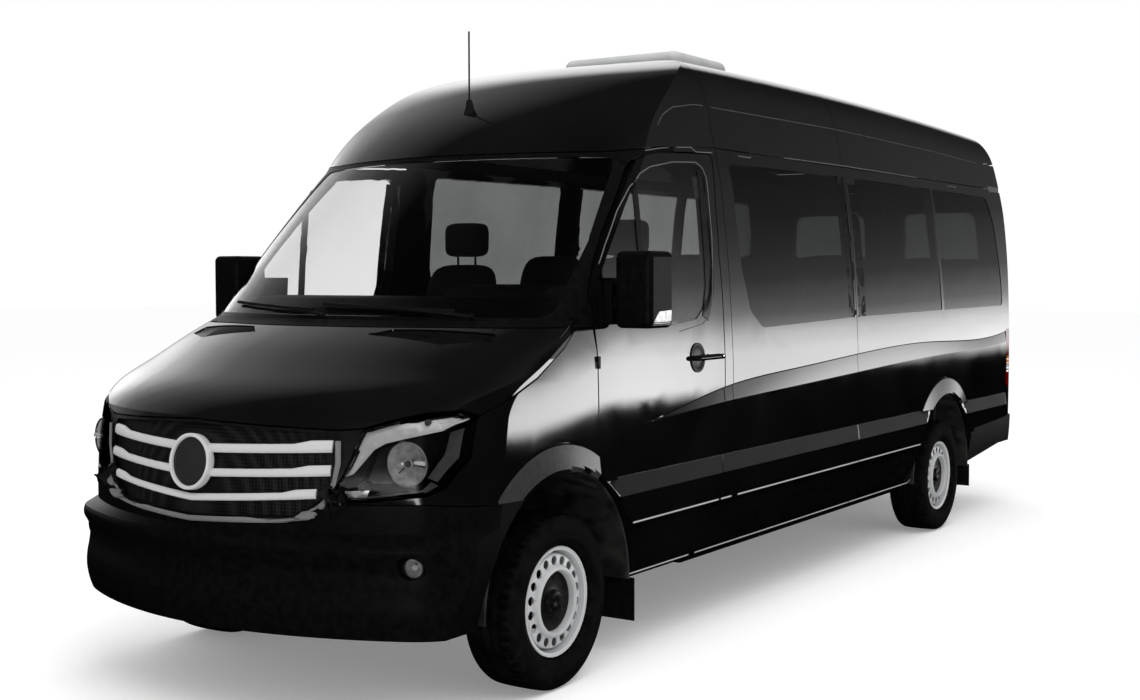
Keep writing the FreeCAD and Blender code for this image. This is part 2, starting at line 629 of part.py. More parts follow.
def face_parts(outer, lines):
    """Headlamps, grille surround, mesh and bars."""
    lamp = largest(outer.common(front_prism(lamp_outline, -1300.0, 0.0)).cut(profile_solid(lamp_depth)))
    lamp = largest(lamp.cut(lines["lamp"]))
    mouth = both_sides(grille_outline)
    lamp_room = front_prism(grow(list(lamp_outline), fit), -1300.0, 0.0)
    beyond = box(600.0, 1300.0, -1300.0, 0.0, 300.0, 1300.0).cut(front_prism(strip_limit, -1300.0, 0.0))
    face = outer.common(front_prism(both_sides(face_outline), -1300.0, -300.0)).cut(profile_solid(surround_depth))
    face = face.cut([lamp_room, mirrored(lamp_room), beyond, mirrored(beyond), front_prism(mouth, -1300.0, 0.0)])
    face = largest(face.cut([lines["lamp"], lines["lamp_right"], lines["chin"]]))
    mesh = profile_solid(mesh_depth).common(front_prism(grow(mouth, -fit), -1300.0, 0.0))
    mesh = largest(mesh.cut(profile_solid(mesh_depth + mesh_thickness)))
    return {"headlamps": group(both(lamp)), "grille": face, "grille_mesh": mesh, "grille_bars": grille_bars(mouth)}


def grille_bars(mouth):
    """Three bars a side and the chin bar, joined by the plain round disc in the middle."""
    shapes = []
    for outer_z, inner_z, thick, reach in bar_rows:
        points = [(0.0, inner_z - thick / 2), (reach, outer_z - thick / 2), (reach, outer_z + thick / 2),
                  (0.0, inner_z + thick / 2)]
        shapes += both(front_prism(points, -1300.0, 0.0))
    chin = list(chin_row) + [(x, z + chin_thickness) for x, z in reversed(chin_row)]
    shapes += both(front_prism(chin, -1300.0, 0.0))
    shapes.append(Part.makeCylinder(badge_radius, 1300.0, V(0, -1300.0, badge_height), V(0, 1, 0)))
    shapes.append(front_prism([(-16.0, 750.0), (16.0, 750.0), (16.0, 1020.0), (-16.0, 1020.0)], -1300.0, 0.0))
    form = fuse(shapes).common(front_prism(grow(mouth, -2.0), -1300.0, 0.0))
    return largest(profile_solid(-3.0).common(form).cut(profile_solid(mesh_depth - fit)))


fog_lamp_x = 850.0
fog_lamp_height = 590.0
fog_lamp_radius = 42.0


def bumpers(outer, inner, rear_inner, lines):
    region = side_prism([(-1300.0, 200.0), (bumper_ends, 200.0), (bumper_ends, 785.0 - fit)] +
                        [(y, z - fit) for y, z in reversed(wing_front_seam)] + [(-1300.0, 806.0 - fit)])
    face_room = front_prism(grow(both_sides(face_outline), fit), -1300.0, 0.0)
    bumper = outer.common(region).cut(inner).cut([face_room, arch(0.0), mirrored(arch(0.0)), lines["wing"],
                                                  lines["chin"]])
    lamp_place = V(fog_lamp_x, -1200.0, fog_lamp_height)
    fog_lamp = outer.common(Part.makeCylinder(fog_lamp_radius, 900.0, lamp_place, V(0, 1, 0))).cut(inner)
    fog_room = Part.makeCylinder(fog_lamp_radius + fit, 900.0, lamp_place, V(0, 1, 0))
    bumper = bumper.cut([fog_room, mirrored(fog_room)])
    rear_form = section_solid(0.0).common(profile_solid(0.0, rear_bumper_push))
    rear = rear_form.common(side_prism(rear_bumper_side)).cut(rear_inner)
    return {"front_bumper": largest(bumper), "rear_bumper": largest(rear), "fog_lamps": group(both(largest(fog_lamp)))}


# Lights at the rear corners, mirrors and fittings outside
tail_lamp_inner = 902.0
tail_lamp_front = 5560.0
tail_lamp_low = 835.0
tail_lamp_top = 1235.0
mirror_front = 262.0
mirror_rear = 452.0
mirror_low = 1400.0
mirror_top = 1705.0
mirror_inner = 1045.0
air_unit_front = 2000.0
air_unit_length = 570.0
air_unit_width = 710.0
air_unit_top = 2775.0
flap_thickness = 8.0
flap_inner = 740.0
flap_outer = 950.0


def tail_lamp_room(gap):
    return box(tail_lamp_inner - gap, 1300.0, tail_lamp_front - gap, 6300.0, tail_lamp_low - gap, tail_lamp_top + gap)


def tail_lamps(outer, inner):
    return group(both(largest(outer.common(tail_lamp_room(0.0)).cut(inner))))


def mirror():
    """The left outside mirror with its arm on the door."""
    outer_x = mirror_span / 2
    housing = rounded_box(mirror_inner, outer_x, mirror_front, mirror_rear, mirror_low, mirror_top, 26.0)
    glass_room = rounded_box(mirror_inner + 14.0, outer_x - 14.0, mirror_rear - 10.0, mirror_rear + 60.0,
                             mirror_low + 14.0, mirror_top - 14.0, 12.0)
    arms = [rounded_box(970.0, mirror_inner + 60.0, 330.0, 420.0, z, z + 46.0, 10.0) for z in (1430.0, 1530.0)]
    foot = rounded_box(960.0, 1012.0, 300.0, 520.0, 1412.0, 1600.0, 8.0)
    form = fuse([housing, foot] + arms).cut(glass_room)
    return largest(form.cut(section_solid(-fit)))


def roof_fittings():
    half = air_unit_width / 2
    unit = box(-half, half, air_unit_front, air_unit_front + air_unit_length, 2600.0, air_unit_top)
    unit = unit.makeFillet(45.0, [e for e in unit.Edges if e.BoundBox.ZMin > 2650.0 or e.BoundBox.ZLength > 100.0])
    unit = largest(unit.cut(section_solid(-fit)))
    base = (0.0, antenna_station, antenna_foot)
    tip = (0.0, antenna_station, antenna_tip)
    lean = V(*tip) - V(*base)
    mast = fuse([Part.makeCone(42.0, 12.0, 120.0, V(*base), lean), post(base, tip, 4.0)])
    skin_box = box(-100.0, 100.0, antenna_station - 200.0, antenna_station + 260.0, 1900.0, 2700.0)
    return unit, largest(mast.cut(profile_solid(-fit).common(skin_box)))


antenna_station = 700.0
antenna_foot = 2290.0
antenna_tip = 2720.0


def mudflaps():
    """Flaps behind the wheels, the front ones low enough for the doors to swing over them."""
    flaps = []
    for station, low, high, high_outer in ((575.0, 155.0, sill_foot - fit, 337.0), (4925.0, 205.0, sill_foot - fit,
                                                                                sill_foot - fit)):
        inner_part = box(flap_inner, 868.0, station, station + flap_thickness, low, high)
        outer_part = box(868.0, flap_outer, station, station + flap_thickness, low, high_outer)
        flaps += both(fuse([inner_part, outer_part]))
    return group(flaps)


def screen_point(x, z, proud):
    """A point a little in front of the windscreen."""
    low, high = screen_profile[0], screen_profile[1]
    share = (z - low[1]) / (high[1] - low[1])
    y = low[0] + share * (high[0] - low[0]) + (low[2] + share * (high[2] - low[2])) * bow(x)
    return (x, y - proud * 0.73, z + proud * 0.68)


def strip(points, half):
    """A square bar that runs across the vehicle through points."""
    wires = []
    for x, y, z in points:
        corners = [V(x, y + a * half, z + b * half) for a, b in ((-1, -1), (1, -1), (1, 1), (-1, 1))]
        wires.append(Part.makePolygon(corners + corners[:1]))
    return Part.makeLoft(wires, True, True)


def wipers():
    """Two blades low on the windscreen, each on an arm with its pivot on the cowl."""
    shapes = []
    for pivot, blade_start, blade_end in wiper_rows:
        row = [blade_start + (blade_end - blade_start) * i / 4 for i in range(5)]
        blade = strip([screen_point(x, 1462.0 + i * 6.0, 13.0) for i, x in enumerate(row)], 6.0)
        arm = strip([screen_point(pivot, 1440.0, 16.0), screen_point((pivot + row[2]) / 2, 1458.0, 19.0),
                     screen_point(row[2], 1474.0, 16.0)], 5.0)
        stalk = post(screen_point(pivot, 1438.0, 3.5), screen_point(pivot, 1438.0, 24.0), 8.0)
        shapes.append(fuse([arm, blade, stalk]))
    return shapes


wiper_rows = ((640.0, 560.0, -60.0), (-20.0, -100.0, -720.0))


# Structure under and inside the body
rail_x = 420.0
rail_width = 78.0
rail_low = 500.0
rail_front = -850.0
rail_rear = 5700.0
cross_members = (-760.0, -60.0, 980.0, 1900.0, 2750.0, 3550.0, 4900.0, 5620.0)
cross_width = 80.0
sill_inner = 720.0
sill_foot = 350.0
liner_thickness = 12.0
liner_wall = 460.0
floor_rear = 5660.0
firewall_front = -40.0
firewall_top = cowl_height
cowl_plate = 14.0


def floor_bottom():
    return floor_height - floor_thickness


def floor_pan():
    """The floor with its sills, the firewall and the plate under the windscreen."""
    floor = box(-1000, 1000, post_seam - 8.0, floor_rear, floor_bottom(), floor_height)
    sills = [box(*sorted((sign * sill_inner, sign * 1000.0)), post_seam - 8.0, 4840.0, sill_foot, floor_bottom())
             for sign in (1, -1)]
    rear = section_solid(wall + fit).common(fuse([floor] + sills))
    cab_floor = box(-1000, 1000, firewall_front, post_seam - 8.0, floor_bottom(), floor_height)
    cab_sills = [box(*sorted((sign * sill_inner, sign * 1000.0)), 440.0, post_seam - 8.0, sill_foot, floor_bottom())
                 for sign in (1, -1)]
    cab = section_solid(wall + door_gap).common(fuse([cab_floor] + cab_sills))
    wide = box(-1000, 1000, firewall_front, 0.0, floor_height, 1300.0)
    high = box(-800, 800, firewall_front, 0.0, floor_height, firewall_top)
    firewall = section_solid(wing_wall + fit).common(fuse([wide, high]))
    line = [V(x, -225.0 + hood_bow * bow(x), firewall_top - cowl_plate) for x in (-720, -480, -240, 0, 240, 480, 720)]
    back = firewall_front + 5.0
    ends = [line[-1], V(720, back, line[0].z), V(-720, back, line[0].z), line[0]]
    wire = Part.Wire([spline(line, [p.x for p in line]), Part.makePolygon(ends)])
    cowl = Part.Face(wire).extrude(V(0, 0, cowl_plate))
    pan = fuse([rear, cab, firewall, cowl])
    for station in (0.0, wheelbase):
        room = arch(station, 0.0, liner_wall - fit)
        pan = pan.cut([room, mirrored(room)])
    return largest(pan)


def wheelhouses():
    """The four arch liners, each a half drum with an inboard wall opened for the arms or the axle."""
    shapes = []
    for station, opening in ((0.0, 230.0), (wheelbase, 150.0)):
        drum = arch(station, -fit, liner_wall).common(box(liner_wall, 972.0, station - 600, station + 600, 0, 1000))
        hollow = arch(station, -fit - liner_thickness, liner_wall + liner_thickness)
        shell = drum.cut([hollow, box(0, 1300, station - 600, station + 600, -300, sill_foot)])
        window = box(400, 500, station - opening, station + opening, 100, rail_low - 2.0)
        shapes += both(largest(shell.cut(window)))
    return group(shapes)


def roof_rails():
    band = box(600, 1000, 900.0, 5420.0, 2172.0, 2232.0)
    rail = largest(section_solid(wall + fit).common(band).cut(section_solid(wall + 20.0)))
    return group(both(rail))


pad_half = 35.0
pad_depth = 14.0
pad_stations = (750.0, 3450.0)


def chassis_frame():
    top = floor_bottom() - fit
    low, high = rail_x - rail_width / 2, rail_x + rail_width / 2
    shapes = [box(low, high, rail_front, rail_rear, rail_low, top), box(-high, -low, rail_front, rail_rear, rail_low,
                                                                      top)]
    shapes += [box(-high, high, y, y + cross_width, rail_low, top) for y in cross_members]
    shapes.append(box(-560, 560, rail_rear, rail_rear + 18.0, rail_low, top))
    shapes += [box(low, high, -800.0, -500.0, top, 690.0), box(-high, -low, -800.0, -500.0, top, 690.0)]
    shapes += [box(x - pad_half, x + pad_half, y - pad_half, y + pad_half, rail_low - pad_depth, rail_low)
               for x in (rail_x, -rail_x) for y in pad_stations]
    room = box(-900.0, 900.0, -1000.0, -450.0, rail_low, 1040.0)
    front = profile_solid(wall + fit).common(room).cut(profile_solid(wall + 34.0))
    beam = front.common(box(-900.0, 900.0, -1000.0, -450.0, rail_low, 620.0))
    carrier = profile_solid(lamp_depth + fit).common(room).cut(profile_solid(lamp_depth + 22.0))
    carrier = carrier.common(box(-900.0, 900.0, -1000.0, -450.0, 640.0, 1040.0))
    return largest(fuse(shapes + [beam, carrier]))


def engine():
    block = rounded_box(-290.0, 290.0, -500.0, -60.0, floor_bottom() + 20.0, 1060.0, 24.0)
    foot = [box(x, x + 60.0, -420.0, -360.0, floor_bottom(), floor_bottom() + 60.0) for x in (-410.0, 350.0)]
    brackets = [box(-410.0, 410.0, -420.0, -360.0, floor_bottom() + 40.0, floor_bottom() + 80.0)]
    gearbox = rounded_box(-150.0, 150.0, -100.0, 640.0, 380.0, rail_low - 8.0, 20.0)
    neck = box(-120.0, 120.0, -160.0, -80.0, 420.0, floor_bottom() + 60.0)
    return fuse([block, gearbox, neck] + foot + brackets)


def fuel_tank():
    return rounded_box(110.0, 700.0, 1560.0, 2640.0, 290.0, rail_low - fit, 20.0)


exhaust_x = -250.0
exhaust_radius = 30.0


def exhaust():
    height = rail_low - fit - exhaust_radius
    pipe = rod([(exhaust_x, 660.0, height), (exhaust_x, 5560.0, height), (exhaust_x - 250.0, 5740.0, height)],
               exhaust_radius)
    silencer = rounded_box(exhaust_x - 110.0, exhaust_x + 90.0, 3000.0, 3520.0, height - 120.0,
                           height + exhaust_radius, 24.0)
    bore = rod([(exhaust_x - 150.0, 5668.0, height), (exhaust_x - 300.0, 5776.0, height)], exhaust_radius - 4.0)
    return largest(fuse([pipe, silencer]).cut(bore))


# Wheels, steering and running gear
wheel_height = tyre_radius
bead_gap = 0.3
flange_height = 10.0
rim_half_width = 94.0
bore_radius = 30.0
running_fit = 0.05
spindle_outer = 60.0
kingpin_radius = 22.0
kingpin_low = 205.0
kingpin_high = 470.0
arm_thickness = 30.0
wheel_centre_x = ((track_front / 2, 0.0), (track_rear / 2, wheelbase))
axle_radius = 42.0


def turned(profile, x, station):
    """A ring made by turning an outline of (distance outboard, radius) about a wheel's axis."""
    wire = Part.makePolygon([V(x + a, station, wheel_height + r) for a, r in profile + profile[:1]])
    return Part.Face(wire).revolve(V(x, station, wheel_height), V(1, 0, 0), 360.0)


def tyre(x, station):
    half = tyre_width / 2
    low = rim_radius + bead_gap
    flange = rim_radius + flange_height + bead_gap + 0.1
    profile = [(-rim_half_width + 8.0, low), (-rim_half_width + 8.0, flange), (-rim_half_width - 3.0, flange + 4.0),
               (-half, low + 62.0),
               (-half + 4.0, tyre_radius - 34.0), (-half + 22.0, tyre_radius - 6.0), (-60.0, tyre_radius),
               (60.0, tyre_radius), (half - 22.0, tyre_radius - 6.0), (half - 4.0, tyre_radius - 34.0),
               (half, low + 62.0), (rim_half_width + 3.0, flange + 4.0), (rim_half_width - 8.0, flange),
               (rim_half_width - 8.0, low)]
    return turned(profile, x, station)


def rim(x, station):
    """A steel wheel: barrel, dished disc with holes, and hub with its bore."""
    barrel = turned([(-rim_half_width, rim_radius + flange_height), (-rim_half_width, 182.0), (rim_half_width, 182.0),
                     (rim_half_width, rim_radius + flange_height), (rim_half_width - 7.7, rim_radius + flange_height),
                     (rim_half_width - 7.7, rim_radius), (-rim_half_width + 7.7, rim_radius),
                     (-rim_half_width + 7.7, rim_radius + flange_height)], x, station)
    disc = turned([(30.0, 185.0), (18.0, 120.0), (34.0, 100.0), (34.0, bore_radius), (58.0, bore_radius),
                   (58.0, 100.0), (44.0, 122.0), (56.0, 185.0)], x, station)
    hub = turned([(-30.0, bore_radius), (36.0, bore_radius), (36.0, 75.0), (-30.0, 75.0)], x, station)
    holes = []
    for i in range(wheel_holes):
        angle = 2 * math.pi * (i + 0.5) / wheel_holes
        centre = V(x - 10.0, station + hole_circle * math.cos(angle), wheel_height + hole_circle * math.sin(angle))
        holes.append(Part.makeCylinder(hole_radius, 100.0, centre, V(1, 0, 0)))
    return largest(fuse([barrel, disc, hub]).cut(holes))


wheel_holes = 16
hole_radius = 16.0
hole_circle = 150.0


def knuckle():
    """The left steering knuckle: kingpin, spindle and steering arm."""
    x, pin = track_front / 2, track_front / 2 - steer_axis_offset
    kingpin = Part.makeCylinder(kingpin_radius, kingpin_high - kingpin_low, V(pin, 0, kingpin_low))
    spindle = Part.makeCylinder(bore_radius - running_fit, steer_axis_offset + spindle_outer, V(pin, 0, wheel_height),
                                V(1, 0, 0))
    collar = Part.makeCylinder(62.0, 22.0, V(pin + 36.0 - 22.0, 0, wheel_height), V(1, 0, 0))
    root = Part.makeCylinder(44.0, 50.0, V(pin - 20.0, 0, wheel_height), V(1, 0, 0))
    arm = box(pin - 24.0, pin + 6.0, 0.0, 120.0, 300.0, 325.0)
    return fuse([kingpin, spindle, collar, root, arm])


def front_suspension():
    """Cross-member, arms around the kingpins, and springs, on both sides."""
    pin = track_front / 2 - steer_axis_offset
    low = kingpin_low - 0.4
    shapes = [box(-rail_x, rail_x, -110.0, 110.0, 300.0, 380.0)]
    for sign in (1, -1):
        inner = [(sign * 330.0, -70.0), (sign * 330.0, 70.0), (sign * (pin - 60.0), 34.0), (sign * (pin + 24.0), 30.0),
                 (sign * (pin + 24.0), -30.0), (sign * (pin - 60.0), -34.0)]
        shapes.append(plan_prism(inner, low - arm_thickness, low))
        shapes.append(plan_prism(inner, kingpin_high + 0.4, kingpin_high + 0.4 + 27.0))
        shapes.append(box(*sorted((sign * 330.0, sign * 458.0)), -70.0, 70.0, low - arm_thickness, rail_low - fit))
    return fuse(shapes)


def rear_axle():
    """Beam with final drive, spindles and leaf springs hung under the frame rails."""
    outer_x = track_rear / 2 + spindle_outer
    beam = Part.makeCylinder(axle_radius, 2 * 740.0, V(-740.0, wheelbase, wheel_height), V(1, 0, 0))
    spindle = Part.makeCylinder(bore_radius - running_fit, 2 * outer_x, V(-outer_x, wheelbase, wheel_height), V(1, 0, 0))
    housing = Part.makeSphere(130.0, V(0, wheelbase, wheel_height))
    shapes = [beam, spindle, housing]
    for sign in (1, -1):
        x0, x1 = sorted((sign * (rail_x - 30.0), sign * (rail_x + 30.0)))
        leaf = [(wheelbase - 640.0, rail_low - fit), (wheelbase - 640.0, rail_low - 70.0), (wheelbase, 374.0),
                (wheelbase + 640.0, rail_low - 70.0), (wheelbase + 640.0, rail_low - fit),
                (wheelbase + 610.0, rail_low - fit), (wheelbase + 600.0, rail_low - 52.0), (wheelbase, 400.0),
                (wheelbase - 600.0, rail_low - 52.0), (wheelbase - 610.0, rail_low - fit)]
        shapes.append(side_prism(leaf, x0, x1))
        shapes.append(box(x0, x1, wheelbase - 60.0, wheelbase + 60.0, 320.0, 410.0))
        shapes.append(Part.makeCylinder(120.0, 14.0, V(sign * 726.0 - 7.0, wheelbase, wheel_height), V(1, 0, 0)))
    shaft = post((0, 680.0, 430.0), (0, wheelbase, wheel_height + 10.0), 32.0)
    return largest(fuse(shapes + [shaft]))


# Cab and seats
dash_front = fit
dash_rear = 420.0
dash_low = 1020.0
dash_top = 1345.0
driver_x = 440.0
column_foot = (driver_x, 360.0, 1145.0)
wheel_centre = (driver_x, 620.0, 1285.0)
steering_radius = 200.0
steering_grip = 15.0
seat_rows = (1790.0, 2570.0, 3350.0, 4130.0, 4910.0)
row_places = (690.0, 250.0, -690.0)
front_places = ((driver_x, 700.0), (-460.0, 640.0))
seat_width = 420.0
seat_depth = 470.0
seat_top = 440.0
front_back_top = 1030.0
row_back_top = 1090.0
headrest_top = 1235.0


def seat(x, station, legs, top, with_headrest):
    """One seat standing on the floor, facing forward; station is the front edge of its cushion."""
    floor = floor_height + fit
    half = seat_width / 2
    back = station + seat_depth
    cushion = rounded_box(x - half, x + half, station, back, floor + seat_top - 130.0, floor + seat_top, 30.0)
    outline = [(back - 60.0, floor + seat_top - 90.0), (back + 60.0, floor + seat_top - 90.0),
               (back + 210.0, floor + top, 30.0), (back + 110.0, floor + top, 30.0)]
    rest = side_prism(outline, x - half, x + half)
    rest = rest.makeFillet(18.0, [e for e in rest.Edges if abs(e.BoundBox.XLength) < 1e-6 and e.Length > 100.0])
    head = []
    if with_headrest:
        head.append(rounded_box(x - 125.0, x + 125.0, back + 118.0, back + 212.0, floor + top + 30.0,
                                floor + headrest_top, 24.0))
        head += [post((x + side, back + 165.0, floor + top - 30.0), (x + side, back + 165.0, floor + top + 60.0), 7.0)
                 for side in (-55.0, 55.0)]
    base = [box(x - half + a, x - half + a + 50.0, station + 60.0, back - 20.0, floor, floor + seat_top - 100.0)
            for a in legs]
    return fuse([cushion, rest] + head + base)


def cab():
    """Dashboard with the steering column, and the steering wheel."""
    outline = [(dash_front, dash_low), (300.0, dash_low, 40.0), (dash_rear, 1150.0, 60.0), (390.0, dash_top, 60.0),
               (60.0, dash_top + 40.0, 40.0), (dash_front, dash_top)]
    board = side_prism(outline, -890.0, 890.0)
    tower = box(-170.0, 170.0, dash_front, 380.0, 900.0, 1100.0)
    centre, foot = V(*wheel_centre), V(*column_foot)
    along = (centre - foot).normalize()
    column = Part.makeCylinder(32.0, (centre - foot).Length - 60.0, foot, along)
    pin = Part.makeCylinder(12.0, (centre - foot).Length - 30.0, foot, along)
    dash = fuse([board, tower, column, pin]).common(section_solid(wall + 20.0))
    torus = Part.makeTorus(steering_radius - steering_grip, steering_grip, V(0, 0, 0), V(0, 0, 1))
    hub = Part.makeCylinder(52.0, 44.0, V(0, 0, -24.0))
    spokes = [box(-170.0, 170.0, -20.0, 20.0, -8.0, 6.0), box(-18.0, 18.0, -175.0, 0.0, -8.0, 6.0)]
    bore = Part.makeCylinder(12.0 + 0.3, 20.0, V(0, 0, -30.0))
    ring = fuse([torus, hub] + spokes).cut(bore)
    ring.Placement = FreeCAD.Placement(centre, FreeCAD.Rotation(V(0, 0, 1), along))
    return largest(dash), largest(ring)




def build():
    """All parts of the vehicle by name."""
    outer, inner = hull(0.0), hull(wall)
    front, front_inner = [solid.common(box(-1300, 1300, -1300, 1450, 100, 2900)) for solid in (outer, inner)]
    left, left_inner = [solid.common(box(0, 1300, -1300, 1450, 100, 2900)) for solid in (front, front_inner)]
    rear, rear_inner = [solid.common(box(-1300, 1300, 5400, 6300, 100, 2900)) for solid in (outer, inner)]
    rear_left, rear_left_inner = [solid.common(box(0, 1300, 5400, 6300, 100, 2900)) for solid in (outer, inner)]
    side, side_inner = [solid.common(box(0, 1300, 1000, 6300, 100, 2900)) for solid in (outer, inner)]
    lines = groove_lines(hull(groove_depth))

    parts = {}
    parts["door_left"], parts["door_window_left"] = front_doors(left, left_inner)
    parts["windscreen_frame"], parts["windscreen"] = windscreen_frame(front, front_inner, lines)
    parts.update(roof_panels(outer, inner, lines))
    parts.update(side_panels(side, side_inner, lines))
    parts["rear_door_left"], parts["rear_window_left"] = rear_doors(rear_left, rear_left_inner)
    parts["hood"] = hood_panel(front)
    parts["front_wings"] = front_wings(left, lines)
    parts.update(face_parts(front, lines))
    parts.update(bumpers(front, front_inner, inner, lines))
    parts["tail_lamps"] = tail_lamps(rear, rear_inner)
    parts["mirror_left"] = mirror()
    for name in ("door", "door_window", "rear_door", "rear_window", "mirror"):
        parts[name + "_right"] = mirrored(parts[name + "_left"])
    parts["roof_air_unit"], parts["antenna"] = roof_fittings()
    parts["mudflaps"] = mudflaps()
    parts["wipers"] = group(wipers())
    parts["floor_pan"] = floor_pan()
    parts["wheelhouses"] = wheelhouses()
    parts["roof_rails"] = roof_rails()
    parts["chassis_frame"] = chassis_frame()
    parts["engine"] = engine()
    parts["fuel_tank"] = fuel_tank()
    parts["exhaust"] = exhaust()
    parts["knuckle_left"] = knuckle()
    parts["knuckle_right"] = mirrored(parts["knuckle_left"])
    parts["front_suspension"] = front_suspension()
    parts["rear_axle"] = rear_axle()
    for end, (x, station) in zip(("front", "rear"), wheel_centre_x):
        for name, make in (("tyre", tyre), ("rim", rim)):
            shape = make(x, station)
            parts["%s_%s_left" % (name, end)] = shape
            parts["%s_%s_right" % (name, end)] = mirrored(shape)
    parts["dashboard"], parts["steering_wheel"] = cab()
    legs = (20.0, seat_width - 70.0)
    parts["front_seats"] = group([seat(x, station, legs, front_back_top, True) for x, station in front_places])
    seats = [seat(x, row, legs, row_back_top, False) for row in seat_rows for x in row_places]
    rooms = both(arch(wheelbase, fit, liner_wall - fit))
    parts["passenger_seats"] = group([largest(solid.cut(rooms)) for solid in seats])
    return parts


def main():
    os.makedirs("parts", exist_ok=True)
    for name, shape in build().items():
        placed = shape.translated(V(0, front_axle, 0))
        placed.exportStep("parts/%s.step" % name)
        print(name, placed.isValid(), len(placed.Solids), round(placed.Volume / 1e6, 2))


main()
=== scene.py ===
import bpy
import bmesh
import math
from mathutils import Matrix, Vector
from mathutils.bvhtree import BVHTree


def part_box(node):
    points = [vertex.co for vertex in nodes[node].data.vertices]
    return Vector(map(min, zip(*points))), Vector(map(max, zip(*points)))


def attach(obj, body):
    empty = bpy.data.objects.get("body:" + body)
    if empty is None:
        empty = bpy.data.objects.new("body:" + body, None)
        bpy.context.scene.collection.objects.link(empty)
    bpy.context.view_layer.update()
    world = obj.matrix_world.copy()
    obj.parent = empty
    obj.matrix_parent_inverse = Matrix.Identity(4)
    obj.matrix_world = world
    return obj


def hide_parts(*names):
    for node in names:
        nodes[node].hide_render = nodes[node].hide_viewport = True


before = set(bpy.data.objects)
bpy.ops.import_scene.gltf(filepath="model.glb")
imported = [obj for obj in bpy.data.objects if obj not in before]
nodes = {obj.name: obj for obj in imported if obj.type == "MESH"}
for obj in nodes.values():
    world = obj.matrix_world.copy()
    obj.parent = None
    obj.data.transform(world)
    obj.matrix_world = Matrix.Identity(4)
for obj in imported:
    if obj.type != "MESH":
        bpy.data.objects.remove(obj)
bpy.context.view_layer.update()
frontAxle = (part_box("tyre_front_left")[0].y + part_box("tyre_front_left")[1].y) / 2
scene = bpy.context.scene
sides = ((1, "left"), (-1, "right"))
print("frame loaded:", len(nodes), "nodes")


def at(x, station, z):  # a point by its station behind the front axle
    return Vector((x, frontAxle + station, z))


# Camera, at the photograph's place, and the studio around the vehicle
camera = {"across": 4.1008, "height": 1.6042, "station": -4.6827, "turn": 0.5833, "dip": 0.0499,
          "roll": -0.0015,
          "lens": 46.38}
studio = {
    "floor": 0.95, "floorLift": 0.20, "skyForLight": 0.82, "lampPower": 420.0,
    "byHeight": ((-0.090, 1.00), (-0.014, 0.88), (0.005, 0.68), (0.018, 0.38), (0.027, 0.22), (0.043, 0.14),
                 (0.063, 0.08),
                 (0.100, 0.052), (0.140, 0.032), (0.250, 0.022), (0.450, 0.012)), "sideStrength": 5.2,
    "byAcross": ((-1.0, 0.20), (0.0, 0.22), (0.25, 0.50), (0.36, 0.53), (0.455, 0.66), (0.49, 0.87),
                 (0.512, 0.97),
                 (0.585, 0.97), (0.650, 0.02), (1.0, 0.02)),
    "byGlow": ((0.70, 0.0), (0.80, 0.047), (0.90, 0.094), (0.95, 0.147), (0.975, 0.265), (0.99, 0.47),
               (1.0, 1.0)),
    "glowFrom": (-0.87, 0.45, 0.20), "glowStrength": 1.7, "edgeFrom": (-0.45, 0.83, 0.33),
    "edgeSpread": (0.93, 0.99),
    "roofEdge": 0.8, "horizon": (-0.078, -0.060), "tilt": (0.49, 0.15), "turnAway": (0.53, 0.45, 1.3),
    "lampPlace": (1.5, -1.5, 7.5), "lampSize": (7.0, 12.0)}


def makeCamera():
    data = bpy.data.cameras.new("camera")
    data.lens = camera["lens"]
    data.sensor_width = 36.0
    data.clip_end = 200.0
    obj = bpy.data.objects.new("camera", data)
    obj.location = at(camera["across"], camera["station"], camera["height"])
    turn = Matrix.Rotation(camera["turn"], 4, "Z") @ Matrix.Rotation(math.pi / 2 - camera["dip"], 4, "X")
    obj.rotation_euler = (turn @ Matrix.Rotation(camera["roll"], 4, "Z")).to_euler()
    scene.collection.objects.link(obj)
    scene.camera = obj


def addNode(tree, kind, **values):
    node = tree.nodes.new(kind)
    for key, value in values.items():
        if key[2:].isdigit():
            node.inputs[int(key[2:])].default_value = value
        else:
            setattr(node, key, value)
    return node


def maths(tree, operation, first, second=None):
    node = addNode(tree, "ShaderNodeMath", operation=operation)
    for index, source in enumerate((first, second)):
        if hasattr(source, "is_linked"):
            tree.links.new(source, node.inputs[index])
        elif source is not None:
            node.inputs[index].default_value = source
    return node.outputs[0]


def smoothStep(tree, source, low, high):
    node = addNode(tree, "ShaderNodeMapRange", interpolation_type="SMOOTHSTEP", in1=low, in2=high)
    tree.links.new(source, node.inputs[0])
    return node.outputs[0]


def lineUp(tree, vector, direction):
    dot = addNode(tree, "ShaderNodeVectorMath", operation="DOT_PRODUCT")
    dot.inputs[1].default_value = Vector(direction).normalized()
    tree.links.new(vector, dot.inputs[0])
    return dot.outputs["Value"]


def ramped(tree, source, points):  # a value that follows a line of points
    low, high = points[0][0], points[-1][0]
    share = addNode(tree, "ShaderNodeMapRange", in1=low, in2=high)
    tree.links.new(source, share.inputs[0])
    curve = addNode(tree, "ShaderNodeValToRGB")
    tree.links.new(share.outputs[0], curve.inputs[0])
    for place, value in points[1:-1]:
        curve.color_ramp.elements.new((place - low) / (high - low))
    for element, (place, value) in zip(curve.color_ramp.elements, points):
        element.color = (value, value, value, 1)
    return curve.outputs[0]


